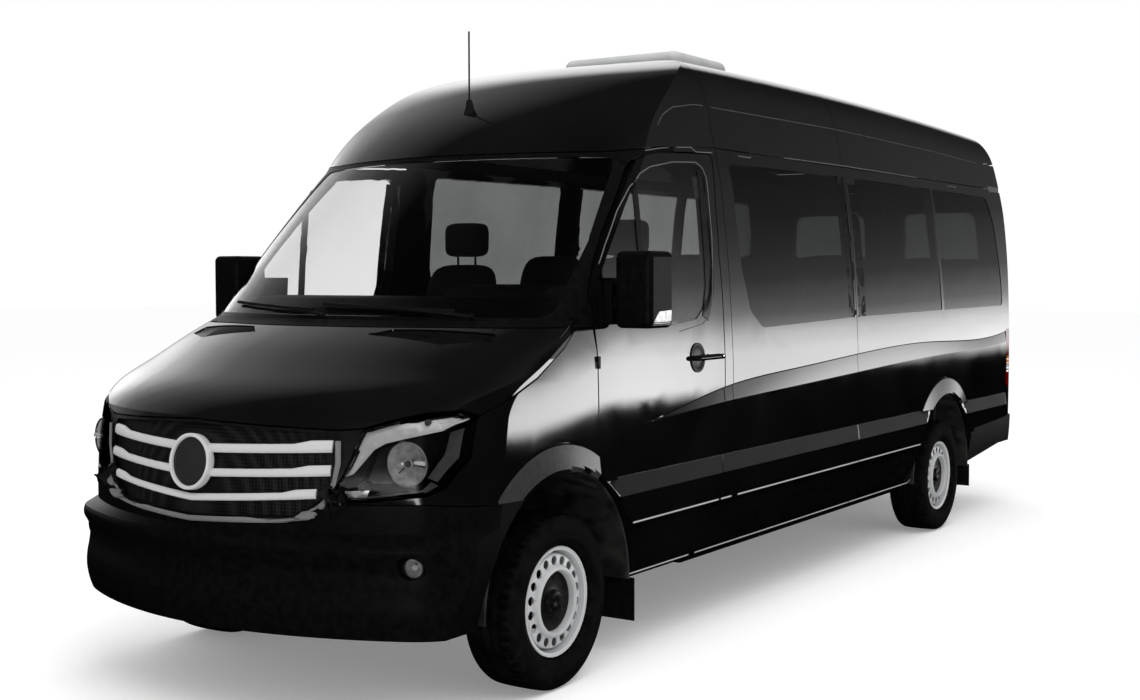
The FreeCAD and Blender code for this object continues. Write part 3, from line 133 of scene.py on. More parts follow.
def makeWorld():
    world = bpy.data.worlds.new("studio")
    scene.world = world
    world.use_nodes = True
    tree = world.node_tree
    tree.nodes.clear()
    link = tree.links.new
    direction = addNode(tree, "ShaderNodeTexCoord").outputs["Generated"]
    parts = addNode(tree, "ShaderNodeSeparateXYZ")
    link(direction, parts.inputs[0])
    across, height = parts.outputs["X"], parts.outputs["Z"]
    corner, cornerTilt, cornerFade = studio["turnAway"]
    level, slope = studio["tilt"]
    beyond = maths(tree, "MAXIMUM", maths(tree, "SUBTRACT", across, corner), 0.0)
    tilted = maths(tree, "ADD", height, maths(tree, "MULTIPLY", maths(tree, "SUBTRACT", across, level),
                                              slope))
    tilted = maths(tree, "ADD", tilted, maths(tree, "MULTIPLY", beyond, cornerTilt))
    rise = smoothStep(tree, tilted, *studio["horizon"])
    fading = ramped(tree, maths(tree, "ADD", height, maths(tree, "MULTIPLY", beyond, cornerFade)),
                    studio["byHeight"])
    side = maths(tree, "MULTIPLY", ramped(tree, across, studio["byAcross"]), studio["sideStrength"])
    backdrop = maths(tree, "MULTIPLY", maths(tree, "MULTIPLY", rise, fading), side)
    glow = ramped(tree, lineUp(tree, direction, studio["glowFrom"]), studio["byGlow"])
    glow = maths(tree, "MULTIPLY", glow, studio["glowStrength"])
    edge = smoothStep(tree, lineUp(tree, direction, studio["edgeFrom"]), *studio["edgeSpread"])
    above = maths(tree, "ADD", glow, maths(tree, "MULTIPLY", edge, studio["roofEdge"]))
    above = maths(tree, "MULTIPLY", smoothStep(tree, height, -0.01, 0.03), above)
    mirrored = maths(tree, "ADD", backdrop, above)
    path = addNode(tree, "ShaderNodeLightPath")
    bounced = maths(tree, "ADD", path.outputs["Glossy Depth"], path.outputs["Diffuse Depth"])
    straight = maths(tree, "MULTIPLY", path.outputs["Is Transmission Ray"],
                     maths(tree, "LESS_THAN", bounced, 0.5))
    clear = maths(tree, "MAXIMUM", path.outputs["Is Camera Ray"], straight)
    glossy = maths(tree, "GREATER_THAN", path.outputs["Glossy Depth"], 0.5)
    shiny = maths(tree, "MAXIMUM", glossy, path.outputs["Is Glossy Ray"])
    shiny = maths(tree, "MULTIPLY", shiny, maths(tree, "SUBTRACT", 1.0, clear))
    seen = maths(tree, "ADD", clear, maths(tree, "MULTIPLY", shiny, mirrored))
    lightOnly = maths(tree, "SUBTRACT", maths(tree, "SUBTRACT", 1.0, clear), shiny)
    strength = maths(tree, "ADD", seen, maths(tree, "MULTIPLY", lightOnly, studio["skyForLight"]))
    background = addNode(tree, "ShaderNodeBackground", in0=(1, 1, 1, 1))
    link(strength, background.inputs["Strength"])
    link(background.outputs[0], addNode(tree, "ShaderNodeOutputWorld").inputs[0])


def makeFloor():
    bm = bmesh.new()
    bmesh.ops.create_grid(bm, x_segments=1, y_segments=1, size=60.0)
    mesh = bpy.data.meshes.new("studio_floor")
    bm.to_mesh(mesh)
    bm.free()
    floor = bpy.data.objects.new("studio_floor", mesh)
    scene.collection.objects.link(floor)
    floor.visible_glossy = False
    material = bpy.data.materials.new("pale floor")
    material.use_nodes = True
    tree = material.node_tree
    tree.nodes.clear()
    grey = studio["floor"]
    diffuse = addNode(tree, "ShaderNodeBsdfDiffuse", in0=(grey, grey, grey, 1))
    path = addNode(tree, "ShaderNodeLightPath")
    clear = maths(tree, "MAXIMUM", path.outputs["Is Camera Ray"], path.outputs["Is Transmission Ray"])
    seen = maths(tree, "MAXIMUM", clear, path.outputs["Is Glossy Ray"])
    glow = addNode(tree, "ShaderNodeEmission", in0=(1, 1, 1, 1))
    tree.links.new(maths(tree, "MULTIPLY", seen, studio["floorLift"]), glow.inputs[1])
    both = addNode(tree, "ShaderNodeAddShader")
    tree.links.new(diffuse.outputs[0], both.inputs[0])
    tree.links.new(glow.outputs[0], both.inputs[1])
    tree.links.new(both.outputs[0], addNode(tree, "ShaderNodeOutputMaterial").inputs[0])
    mesh.materials.append(material)


def makeLamp():
    data = bpy.data.lights.new("overhead_softbox", "AREA")
    data.shape = "RECTANGLE"
    data.size, data.size_y = studio["lampSize"]
    data.energy = studio["lampPower"]
    lamp = bpy.data.objects.new("overhead_softbox", data)
    lamp.location = studio["lampPlace"]
    lamp.rotation_euler = Vector(studio["lampPlace"]).to_track_quat("Z", "Y").to_euler()
    lamp.visible_glossy = False
    lamp.visible_transmission = False
    scene.collection.objects.link(lamp)


makeCamera()
makeWorld()
makeFloor()
makeLamp()
scene.view_settings.view_transform = "Standard"
print("studio made")


# Finishes: two tones mixed by a grain, a fine relief and a spread of gloss
finishes = {
    "bodyPaint": {"tones": ((0.0022, 0.0022, 0.0024), (0.0038, 0.0038, 0.0042)), "grain": 3.0,
                  "rough": (0.03, 0.07),
                  "relief": 0.012, "reliefGrain": 900.0, "coat": 1.0},
    "blackTrim": {"tones": ((0.005, 0.005, 0.005), (0.010, 0.010, 0.010)), "grain": 60.0,
                  "rough": (0.38, 0.55),
                  "relief": 0.12, "reliefGrain": 1500.0, "specular": 0.3},
    # the grille mesh's holes are painted: dark cell centres stand in for the shade seen through them
    "meshPaintedHoleShade": {"tones": ((0.0012, 0.0012, 0.0012), (0.018, 0.018, 0.018)), "grain": 0.0,
                  "rough": (0.4, 0.5),
                  "relief": 0.1, "reliefGrain": 600.0, "cells": 78.0},
    "moulding": {"tones": ((0.006, 0.006, 0.006), (0.010, 0.010, 0.010)), "grain": 80.0,
                 "rough": (0.42, 0.58),
                 "relief": 0.12, "reliefGrain": 1400.0, "specular": 0.3},
    "glossBlack": {"tones": ((0.004, 0.004, 0.004), (0.008, 0.008, 0.008)), "grain": 20.0,
                   "rough": (0.08, 0.14),
                   "relief": 0.01, "reliefGrain": 700.0},
    "brightTrim": {"tones": ((0.80, 0.80, 0.81), (0.92, 0.92, 0.93)), "grain": 12.0, "rough": (0.06, 0.14),
                   "relief": 0.01, "reliefGrain": 500.0, "metallic": 1.0},
    "reflector": {"tones": ((0.86, 0.86, 0.87), (0.95, 0.95, 0.96)), "grain": 40.0, "rough": (0.20, 0.28),
                  "relief": 0.02, "reliefGrain": 260.0, "metallic": 0.3},
    "wheelPaint": {"tones": ((0.64, 0.65, 0.66), (0.68, 0.69, 0.70)), "grain": 3.0, "rough": (0.30, 0.36),
                   "relief": 0.01, "reliefGrain": 1200.0, "metallic": 0.25},
    "tyreRubber": {"tones": ((0.002, 0.002, 0.002), (0.005, 0.005, 0.005)), "grain": 24.0,
                   "rough": (0.6, 0.8),
                   "relief": 0.2, "reliefGrain": 700.0, "specular": 0.12},
    "softRubber": {"tones": ((0.003, 0.003, 0.003), (0.007, 0.007, 0.007)), "grain": 30.0,
                   "rough": (0.5, 0.7),
                   "relief": 0.15, "reliefGrain": 900.0, "specular": 0.15},
    "frameSteel": {"tones": ((0.012, 0.012, 0.013), (0.045, 0.043, 0.04)), "grain": 14.0, "rough": (0.4, 0.7),
                   "relief": 0.2, "reliefGrain": 400.0, "metallic": 0.3},
    "castMetal": {"tones": ((0.10, 0.10, 0.10), (0.22, 0.22, 0.22)), "grain": 18.0, "rough": (0.45, 0.65),
                  "relief": 0.35, "reliefGrain": 500.0, "metallic": 0.8},
    "exhaustSteel": {"tones": ((0.20, 0.18, 0.16), (0.38, 0.36, 0.34)), "grain": 10.0, "rough": (0.35, 0.6),
                     "relief": 0.15, "reliefGrain": 300.0, "metallic": 0.9},
    "seatCloth": {"tones": ((0.005, 0.005, 0.0055), (0.014, 0.014, 0.015)), "grain": 700.0,
                  "rough": (0.8, 0.95),
                  "relief": 0.5, "reliefGrain": 1400.0, "sheen": 0.08},
    "cabinPlastic": {"tones": ((0.005, 0.005, 0.0055), (0.010, 0.010, 0.011)), "grain": 90.0,
                     "rough": (0.5, 0.7),
                     "relief": 0.3, "reliefGrain": 900.0},
    "cabinFloor": {"tones": ((0.02, 0.02, 0.021), (0.045, 0.045, 0.047)), "grain": 220.0, "rough": (0.6, 0.8),
                   "relief": 0.3, "reliefGrain": 300.0},
    "roofUnit": {"tones": ((0.42, 0.43, 0.43), (0.48, 0.48, 0.48)), "grain": 7.0, "rough": (0.35, 0.48),
                 "relief": 0.05, "reliefGrain": 700.0},
    "capBlack": {"tones": ((0.002, 0.002, 0.002), (0.004, 0.004, 0.004)), "grain": 30.0,
                 "rough": (0.25, 0.35),
                 "relief": 0.03, "reliefGrain": 700.0},
    "satinBlack": {"tones": ((0.002, 0.002, 0.002), (0.004, 0.004, 0.004)), "grain": 40.0,
                   "rough": (0.34, 0.36),
                   "relief": 0.01, "reliefGrain": 900.0, "specular": 0.12},
    "mirrorFace": {"tones": ((0.75, 0.77, 0.78), (0.82, 0.83, 0.84)), "grain": 5.0, "rough": (0.0, 0.02),
                   "relief": 0.0, "reliefGrain": 100.0, "metallic": 1.0},
    "lampWall": {"tones": ((0.045, 0.045, 0.047), (0.07, 0.07, 0.072)), "grain": 30.0, "rough": (0.3, 0.42),
                 "relief": 0.05, "reliefGrain": 500.0},
    "lampBowl": {"tones": ((0.55, 0.55, 0.56), (0.90, 0.90, 0.91)), "grain": 38.0, "rough": (0.10, 0.20),
                 "relief": 0.5, "reliefGrain": 45.0, "metallic": 0.55},
    "barTrim": {"tones": ((0.80, 0.80, 0.81), (0.83, 0.83, 0.84)), "grain": 4.0, "rough": (0.22, 0.26),
                "relief": 0.02, "reliefGrain": 600.0, "metallic": 0.3},
    # flat grey for thin strips that paint the bright edge highlights along the sides
    "lineTrim": {"tones": ((0.42, 0.42, 0.42), (0.50, 0.50, 0.50)), "grain": 4.0, "rough": (0.3, 0.4),
                 "relief": 0.02, "reliefGrain": 600.0},
    "mirrorLamp": {"tones": ((0.45, 0.45, 0.45), (0.85, 0.85, 0.85)), "grain": 60.0, "rough": (0.08, 0.2),
                   "relief": 0.4, "reliefGrain": 90.0},
    # grey of the grille's ring, and painted highlight on the roof folds and the door windows' edges
    "ringTrim": {"tones": ((0.24, 0.24, 0.245), (0.28, 0.28, 0.285)), "grain": 5.0, "rough": (0.28, 0.38),
                 "relief": 0.03, "reliefGrain": 700.0, "metallic": 0.4},
    "discFace": {"tones": ((0.05, 0.05, 0.052), (0.06, 0.06, 0.062)), "grain": 5.0, "rough": (0.24, 0.36),
                 "relief": 0.05, "reliefGrain": 500.0, "metallic": 0.6},
    "amberLens": {"tones": ((0.75, 0.22, 0.02), (0.85, 0.28, 0.03)), "grain": 60.0, "rough": (0.1, 0.2),
                  "relief": 0.1, "reliefGrain": 300.0, "coat": 1.0},
    "archTrim": {"tones": ((0.030, 0.030, 0.031), (0.036, 0.036, 0.037)), "grain": 40.0,
                 "rough": (0.10, 0.14),
                 "relief": 0.04, "reliefGrain": 900.0},
    "whiteLens": {"tones": ((0.75, 0.75, 0.75), (0.9, 0.9, 0.9)), "grain": 60.0, "rough": (0.1, 0.2),
                  "relief": 0.1, "reliefGrain": 300.0, "coat": 1.0},
    "plainPlate": {"tones": ((0.55, 0.55, 0.55), (0.62, 0.62, 0.62)), "grain": 20.0, "rough": (0.3, 0.4),
                   "relief": 0.05, "reliefGrain": 300.0},
}


def makeFinish(name, look):
    material = bpy.data.materials.new(name)
    material.use_nodes = True
    tree = material.node_tree
    link = tree.links.new
    shader = tree.nodes["Principled BSDF"]
    place = addNode(tree, "ShaderNodeTexCoord").outputs["Object"]
    grain = addNode(tree, "ShaderNodeTexVoronoi" if look.get("cells") else "ShaderNodeTexNoise")
    grain.inputs["Scale"].default_value = look.get("cells") or look["grain"]
    if look.get("cells"):  # an even field of round holes, their dark centres painted as the shade seen through them
        grain.inputs["Randomness"].default_value = 0.0
    else:
        grain.inputs["Detail"].default_value = 4.0
    link(place, grain.inputs["Vector"])
    tones = addNode(tree, "ShaderNodeValToRGB")
    tones.color_ramp.elements[0].position = 0.35
    tones.color_ramp.elements[1].position = 0.65
    tones.color_ramp.elements[0].color = (*look["tones"][0], 1)
    tones.color_ramp.elements[1].color = (*look["tones"][1], 1)
    link(grain.outputs[0], tones.inputs[0])
    link(tones.outputs[0], shader.inputs["Base Color"])
    gloss = addNode(tree, "ShaderNodeMapRange", in1=0.3, in2=0.7, in3=look["rough"][0], in4=look["rough"][1])
    link(grain.outputs[0], gloss.inputs[0])
    link(gloss.outputs[0], shader.inputs["Roughness"])
    if look["relief"]:
        fine = addNode(tree, "ShaderNodeTexNoise")
        fine.inputs["Scale"].default_value = look["reliefGrain"]
        link(place, fine.inputs["Vector"])
        bump = addNode(tree, "ShaderNodeBump")
        bump.inputs["Strength"].default_value = look["relief"]
        bump.inputs["Distance"].default_value = 0.001
        link(fine.outputs[0], bump.inputs["Height"])
        link(bump.outputs[0], shader.inputs["Normal"])
    shader.inputs["Metallic"].default_value = look.get("metallic", 0.0)
    shader.inputs["Specular IOR Level"].default_value = look.get("specular", 0.5)
    shader.inputs["Coat Weight"].default_value = look.get("coat", 0.0)
    shader.inputs["Coat Roughness"].default_value = 0.02
    shader.inputs["Sheen Weight"].default_value = look.get("sheen", 0.0)
    return material


glasses = {
    "windscreenGlass": {"tones": ((0.96, 0.97, 0.96), (0.98, 0.99, 0.98)), "specular": 0.12},
    "cabGlass": {"tones": ((0.95, 0.95, 0.95), (0.97, 0.97, 0.97)), "specular": 0.16},
    "tintedGlass": {"tones": ((0.16, 0.165, 0.165), (0.19, 0.195, 0.195)), "specular": 0.17},
    "redLens": {"tones": ((0.32, 0.004, 0.004), (0.42, 0.008, 0.006)), "specular": 0.5},
}


def makeGlass(name, look):
    material = makeFinish(name, {"tones": look["tones"], "grain": 2.5, "rough": (0.0, 0.012), "relief": 0.0})
    shader = material.node_tree.nodes["Principled BSDF"]
    shader.inputs["Transmission Weight"].default_value = 1.0
    shader.inputs["IOR"].default_value = 1.45
    shader.inputs["Specular IOR Level"].default_value = look["specular"]
    return material


def makeLens(name):  # thin clear plastic that lets light through to what lies behind it
    material = makeFinish(name, {"tones": ((0.93, 0.93, 0.93), (0.97, 0.97, 0.97)), "grain": 5.0,
                                 "rough": (0.01, 0.03),
                                 "relief": 0.0})
    tree = material.node_tree
    shader = tree.nodes["Principled BSDF"]
    tint = shader.inputs["Base Color"].links[0].from_socket
    through = addNode(tree, "ShaderNodeBsdfTransparent")
    tree.links.new(tint, through.inputs[0])
    gloss = addNode(tree, "ShaderNodeBsdfGlossy", in1=0.03)
    facing = addNode(tree, "ShaderNodeFresnel", in0=1.28)
    both = addNode(tree, "ShaderNodeMixShader")
    tree.links.new(facing.outputs[0], both.inputs[0])
    tree.links.new(through.outputs[0], both.inputs[1])
    tree.links.new(gloss.outputs[0], both.inputs[2])
    tree.links.new(both.outputs[0], tree.nodes["Material Output"].inputs[0])
    tree.nodes.remove(shader)
    return material


finish = {name: makeFinish(name, look) for name, look in finishes.items()}
finish["clearLens"] = makeLens("clearLens")
finish.update({name: makeGlass(name, look) for name, look in glasses.items()})

nodeFinish = {
    "bodyPaint": ("side_panel_left_front", "side_panel_left_rear", "side_panel_right_rear", "post_right",
                  "sliding_door", "front_wings", "roof_front", "roof_middle", "roof_rear",
                  "hood", "door_left", "door_right", "rear_door_left", "rear_door_right"),
    "blackTrim": ("rear_bumper", "wipers", "antenna"),
    "meshPaintedHoleShade": ("grille_mesh",),
    "glossBlack": ("grille",),
    "satinBlack": ("mirror_left", "mirror_right", "windscreen_frame", "front_bumper"),
    "brightTrim": ("grille_bars",),
    "windscreenGlass": ("windscreen",),
    "cabGlass": ("door_window_left", "door_window_right"),
    "tintedGlass": ("side_windows_left", "side_windows_right", "rear_window_left", "rear_window_right"),
    "redLens": ("tail_lamps",),
    "clearLens": ("headlamps", "fog_lamps"),
    "cabinPlastic": ("dashboard", "steering_wheel"),
    "cabinFloor": ("floor_pan",),
    "frameSteel": ("chassis_frame", "wheelhouses", "roof_rails", "rear_axle", "front_suspension",
                   "fuel_tank"),
    "castMetal": ("engine", "knuckle_left", "knuckle_right"),
    "exhaustSteel": ("exhaust",),
    "softRubber": ("mudflaps",),
    "seatCloth": ("front_seats", "passenger_seats"),
    "roofUnit": ("roof_air_unit",),
    "tyreRubber": ("tyre_front_left", "tyre_front_right", "tyre_rear_left", "tyre_rear_right"),
    "wheelPaint": ("rim_front_left", "rim_front_right", "rim_rear_left", "rim_rear_right"),
}
for look, names in nodeFinish.items():
    for name in names:
        if not nodes[name].material_slots:
            nodes[name].data.materials.append(finish[look])
        for slot in nodes[name].material_slots:
            slot.material = finish[look]
missed = set(nodes) - {name for names in nodeFinish.values() for name in names}
print("finishes assigned, left out:", sorted(missed))


# Shared tools for the fitted pieces
def rayTarget(*names):
    bm = bmesh.new()
    for name in names:
        bm.from_mesh(nodes[name].data)
    target = BVHTree.FromBMesh(bm)
    bm.free()
    return target


def landOn(target, point, aim, lift):  # the place where a piece sits on a surface, a little proud of it
    aim = Vector(aim).normalized()
    hit, normal = target.ray_cast(Vector(point) - aim * 0.6, aim, 1.6)[:2]
    if hit is None:
        hit, normal = target.find_nearest(Vector(point))[:2]
    if normal.dot(aim) > 0:
        normal = -normal
    return hit + normal * lift


def along(line, share):
    lengths = [(b - a).length for a, b in zip(line, line[1:])]
    left = share * sum(lengths)
    for a, b, length in zip(line, line[1:], lengths):
        if left <= length or b is line[-1]:
            return a.lerp(b, min(1.0, left / length))
        left -= length


def thicken(bm, faces, thickness, shell=True):  # a wall inward from a surface, or only its bowl
    bm.normal_update()
    lean = {vert.co.to_tuple(6): vert.normal.copy() for face in faces for vert in face.verts}
    made = bmesh.ops.extrude_face_region(bm, geom=faces)["geom"]
    walls = [item for item in made if isinstance(item, bmesh.types.BMVert)]
    for vert in walls:
        vert.co -= lean[vert.co.to_tuple(6)] * thickness
    if shell:
        whole = set(faces) | {face for vert in walls for face in vert.link_faces}
        bmesh.ops.recalc_face_normals(bm, faces=list(whole))
    else:
        bmesh.ops.delete(bm, geom=faces, context="FACES_ONLY")


def skinPatch(bm, low, high, cells, target, aim, lift, thick, wave=None):
    grid = bmesh.ops.create_grid(bm, x_segments=cells[0], y_segments=cells[1], size=1.0)
    for vert in grid["verts"]:
        u, w = (vert.co.x + 1) / 2, (vert.co.y + 1) / 2
        spot = along(low, u).lerp(along(high, u), w)
        reach = lift + (wave(u, w) if wave else 0.0)
        vert.co = landOn(target, spot, aim, reach) if target else spot - Vector(aim) * reach
    faces = list({face for vert in grid["verts"] for face in vert.link_faces})
    bmesh.ops.recalc_face_normals(bm, faces=faces)
    for face in faces:
        face.normal_update()
    if sum(face.normal.dot(Vector(aim)) for face in faces) > 0:
        bmesh.ops.reverse_faces(bm, faces=faces)
    if thick:
        thicken(bm, faces, thick)


def addBox(bm, low, high, bevel=0.0, segments=2):
    low, high = Vector(low), Vector(high)
    place = Matrix.Translation((low + high) / 2) @ Matrix.Diagonal((*(high - low), 1.0))
    made = bmesh.ops.create_cube(bm, size=1.0, matrix=place)
    if bevel:
        edges = list({edge for vert in made["verts"] for edge in vert.link_edges})
        bmesh.ops.bevel(bm, geom=edges, offset=bevel, offset_type="OFFSET", segments=segments, profile=0.5,
                        affect="EDGES", material=-1)
    return made["verts"]


def addRod(bm, start, end, radius, endRadius=None, sides=12):
    start, end = Vector(start), Vector(end)
    turn = (end - start).to_track_quat("Z", "Y").to_matrix().to_4x4()
    bmesh.ops.create_cone(bm, cap_ends=True, segments=sides, radius1=radius,
                          radius2=radius if endRadius is None else endRadius, depth=(end - start).length,
                          matrix=Matrix.Translation((start + end) / 2) @ turn)


def addSpun(bm, profile, centre, axis, steps=48,
            closed=False):  # profile in (distance along the axis, radius)
    axis = Vector(axis).normalized()
    out = axis.orthogonal().normalized()
    verts = [bm.verts.new(Vector(centre) + axis * a + out * r) for a, r in profile]
    pairs = list(zip(verts, verts[1:])) + ([(verts[-1], verts[0])] if closed else [])
    edges = [bm.edges.new(pair) for pair in pairs]
    made = bmesh.ops.spin(bm, geom=verts + edges, cent=Vector(centre), axis=axis, dvec=(0, 0, 0),
                          angle=2 * math.pi, steps=steps, use_merge=True)
    return made


def addTube(bm, points, radius, closed=False, squareness=3):
    curve = bpy.data.curves.new("line", "CURVE")
    curve.dimensions = "3D"
    line = curve.splines.new("POLY")
    line.points.add(len(points) - 1)
    for spot, point in zip(line.points, points):
        spot.co = (*point, 1.0)
    line.use_cyclic_u = closed
    curve.bevel_depth = radius
    curve.bevel_resolution = squareness
    curve.use_fill_caps = True
    obj = bpy.data.objects.new("line", curve)
    mesh = bpy.data.meshes.new_from_object(obj)
    bm.from_mesh(mesh)
    bpy.data.objects.remove(obj)
    bpy.data.curves.remove(curve)
    bpy.data.meshes.remove(mesh)


def mirrorAcross(bm):  # adds the same forms on the other side of the vehicle
    made = bmesh.ops.duplicate(bm, geom=bm.verts[:] + bm.edges[:] + bm.faces[:])["geom"]
    verts = [item for item in made if isinstance(item, bmesh.types.BMVert)]
    faces = [item for item in made if isinstance(item, bmesh.types.BMFace)]
    bmesh.ops.scale(bm, vec=(-1, 1, 1), verts=verts)
    bmesh.ops.reverse_faces(bm, faces=faces)


def finishPiece(name, bm, look, body, sharp=35, replaces=(), merge=False, recalculate=False):
    if merge:
        bmesh.ops.remove_doubles(bm, verts=bm.verts[:], dist=0.00005)
    if merge or recalculate:
        bmesh.ops.recalc_face_normals(bm, faces=bm.faces[:])
    mesh = bpy.data.meshes.new(name)
    bm.to_mesh(mesh)
    bm.free()
    mesh.materials.append(finish[look])
    mesh.shade_smooth()
    mesh.set_sharp_from_angle(angle=math.radians(sharp))
    piece = bpy.data.objects.new(name, mesh)
    scene.collection.objects.link(piece)
    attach(piece, body)
    if replaces:
        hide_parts(*replaces)
    return piece


# Tyres: a closed section with grooves turned about the wheel, and cuts across the shoulders
tyreShape = {"steps": 108, "cutEvery": 2, "cutDepth": 0.006,
             "half": ((0.0, 0.345), (0.016, 0.345), (0.018, 0.3365), (0.026, 0.3365), (0.028, 0.3448),
                      (0.052, 0.3445), (0.054, 0.3365), (0.062, 0.336), (0.064, 0.3440), (0.090, 0.3420),
                      (0.101, 0.3360), (0.1100, 0.3200), (0.1150, 0.3000), (0.1170, 0.2820), (0.1173, 0.2680),
                      (0.1150, 0.2600), (0.1160, 0.2560), (0.1130, 0.2480), (0.1050, 0.2360),
                      (0.0990, 0.2250),
                      (0.0972, 0.2207), (0.0858, 0.2166), (0.0858, 0.2066))}


def makeTyre(name, side):
    centre = (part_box(name)[0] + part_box(name)[1]) / 2
    bm = bmesh.new()
    half = tyreShape["half"]
    profile = [(-a, r) for a, r in reversed(half[1:])] + list(half)
    addSpun(bm, profile, centre, (1, 0, 0), tyreShape["steps"], closed=True)
    bmesh.ops.remove_doubles(bm, verts=bm.verts[:], dist=0.00005)
    bmesh.ops.recalc_face_normals(bm, faces=bm.faces[:])
    cuts = []
    for face in bm.faces:
        middle = face.calc_center_median() - centre
        angle = math.atan2(middle.z, middle.y) / (2 * math.pi) * tyreShape["steps"]
        if 0.066 < abs(middle.x) < 0.1 and round(angle) % tyreShape["cutEvery"] == 0:
            cuts.append(face)
    bmesh.ops.inset_individual(bm, faces=cuts, thickness=0.0022, depth=-tyreShape["cutDepth"])
    finishPiece(name + "_treaded", bm, "tyreRubber", "wheel_" + name[5:], replaces=(name,))


# Steel wheels: a stepped barrel, a disc with round holes and a rolled ring, and a dark centre cap
wheelShape = {"holes": 18, "holeCircle": 0.1600, "holeRadius": 0.0180, "steps": 108,
              "barrel": ((-0.094, 0.2155), (-0.0865, 0.2155), (-0.0865, 0.2050), (-0.060, 0.2015),
                         (-0.052, 0.1880),
                         (0.018, 0.1860), (0.040, 0.1960), (0.058, 0.1985), (0.066, 0.2025), (0.0865, 0.2040),
                         (0.0870, 0.2140), (0.0900, 0.2155), (0.0945, 0.2140), (0.0935, 0.2110),
                         (0.0905, 0.2085),
                         (0.0895, 0.2000), (0.068, 0.1985), (0.060, 0.1940), (0.042, 0.1915), (0.020, 0.1815),
                         (-0.054, 0.1835), (-0.062, 0.1970), (-0.0895, 0.2005), (-0.094, 0.2085)),
              "disc": ((0.030, 0.1870), (0.062, 0.1860), (0.0740, 0.1835), (0.0790, 0.1795), (0.0805, 0.1740),
                       (0.0805, 0.1470), (0.0820, 0.1440), (0.0900, 0.1400), (0.0975, 0.1360),
                       (0.1015, 0.1300),
                       (0.1020, 0.1255), (0.0990, 0.1215), (0.0900, 0.1185), (0.0600, 0.1170),
                       (0.0600, 0.1130),
                       (0.0560, 0.1130), (0.0560, 0.1210), (0.0860, 0.1225), (0.0940, 0.1250),
                       (0.0965, 0.1285),
                       (0.0930, 0.1330), (0.0770, 0.1425), (0.0755, 0.1470), (0.0755, 0.1740),
                       (0.0700, 0.1800),
                       (0.0580, 0.1825), (0.030, 0.1835)),
              "cap": ((0.0, 0.0), (0.0, 0.116), (0.070, 0.1165), (0.074, 0.112), (0.072, 0.060),
                      (0.074, 0.046),
                      (0.088, 0.040), (0.092, 0.030), (0.088, 0.012), (0.087, 0.0))}


def carve(bm, cutter):  # the first form with the second taken away
    pair = []
    for name, form in (("kept", bm), ("taken", cutter)):
        mesh = bpy.data.meshes.new(name)
        form.to_mesh(mesh)
        form.free()
        pair.append(bpy.data.objects.new(name, mesh))
        scene.collection.objects.link(pair[-1])
    cut = pair[0].modifiers.new("cut", "BOOLEAN")
    cut.object, cut.operation, cut.solver = pair[1], "DIFFERENCE", "EXACT"
    carved = bmesh.new()
    carved.from_object(pair[0], bpy.context.evaluated_depsgraph_get())
    for item in pair:
        mesh = item.data
        bpy.data.objects.remove(item)
        bpy.data.meshes.remove(mesh)
    return carved


def makeWheel(name, side):
    centre = (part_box(name)[0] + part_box(name)[1]) / 2
    shape = wheelShape
    body = "wheel_" + name[4:]
    out = Vector((side, 0, 0))
    disc = bmesh.new()
    addSpun(disc, shape["disc"], centre, out, shape["steps"], closed=True)
    bmesh.ops.remove_doubles(disc, verts=disc.verts[:], dist=0.00005)
    bmesh.ops.recalc_face_normals(disc, faces=disc.faces[:])
    holes = bmesh.new()
    for index in range(shape["holes"]):
        angle = 2 * math.pi * (index + 0.5) / shape["holes"]
        spot = centre + Vector((0, math.cos(angle), math.sin(angle))) * shape["holeCircle"]
        addRod(holes, spot + out * 0.060, spot + out * 0.100, shape["holeRadius"], sides=28)
    bm = carve(disc, holes)
    addSpun(bm, shape["barrel"], centre, out, shape["steps"], closed=True)
    finishPiece(name + "_wheel", bm, "wheelPaint", body, sharp=40, replaces=(name,),
                merge=True)
    bm = bmesh.new()
    addSpun(bm, shape["cap"], centre, out, 72)
    finishPiece(name + "_cap", bm, "capBlack", body, merge=True)


for end in ("front", "rear"):
    for side, word in sides:
        makeTyre("tyre_%s_%s" % (end, word), side)
        makeWheel("rim_%s_%s" % (end, word), side)
print("wheels dressed")


# Seats: padded cushions, backs and headrests on steel frames
seatShape = {"floor": 0.6404, "width": 0.42, "depth": 0.47, "top": 0.44, "frontTop": 1.03, "rowTop": 1.09,
             "headrestTop": 1.235, "driver": (0.44, 0.70), "passenger": (-0.46, 0.64),
             "rows": (1.79, 2.57, 3.35, 4.13, 4.91), "places": (0.69, 0.25, -0.69), "softness": 5.0}


def addPad(bm, low, high, lean=0.0, crown=(0, 0, 0.012), cuts=9, channel=0.006):
    low, high = Vector(low), Vector(high)
    half = (high - low) / 2
    middle = (low + high) / 2
    made = bmesh.ops.create_cube(bm, size=2.0)
    edges = list({edge for vert in made["verts"] for edge in vert.link_edges})
    bmesh.ops.subdivide_edges(bm, edges=edges, cuts=cuts, use_grid_fill=True)
    verts = [vert for vert in bm.verts if vert.tag is False]
    power = seatShape["softness"]
    for vert in verts:
        spot = vert.co.copy()
        size = sum(abs(value) ** power for value in spot) ** (1 / power)
        if size > 1.0:
            spot /= size
        puff = (1 - spot.x ** 2) * (1 - spot.y ** 2 if crown[2] else 1 - spot.z ** 2)
        sewn = channel * math.exp(-((abs(spot.x) - 0.55) / 0.09) ** 2)
        across = 1.0 - 0.03 * (1 - spot.x ** 2)
        offset = Vector(crown) * puff - Vector(crown).normalized() * sewn
        facing = spot.z > 0 if crown[2] else spot.y < 0
        place = Vector((spot.x * half.x, spot.y * half.y * across, spot.z * half.z))
        place += offset * (1.0 if facing else 0.0)
        place.y += lean * (place.z + half.z)
        vert.co = middle + place
        vert.tag = True


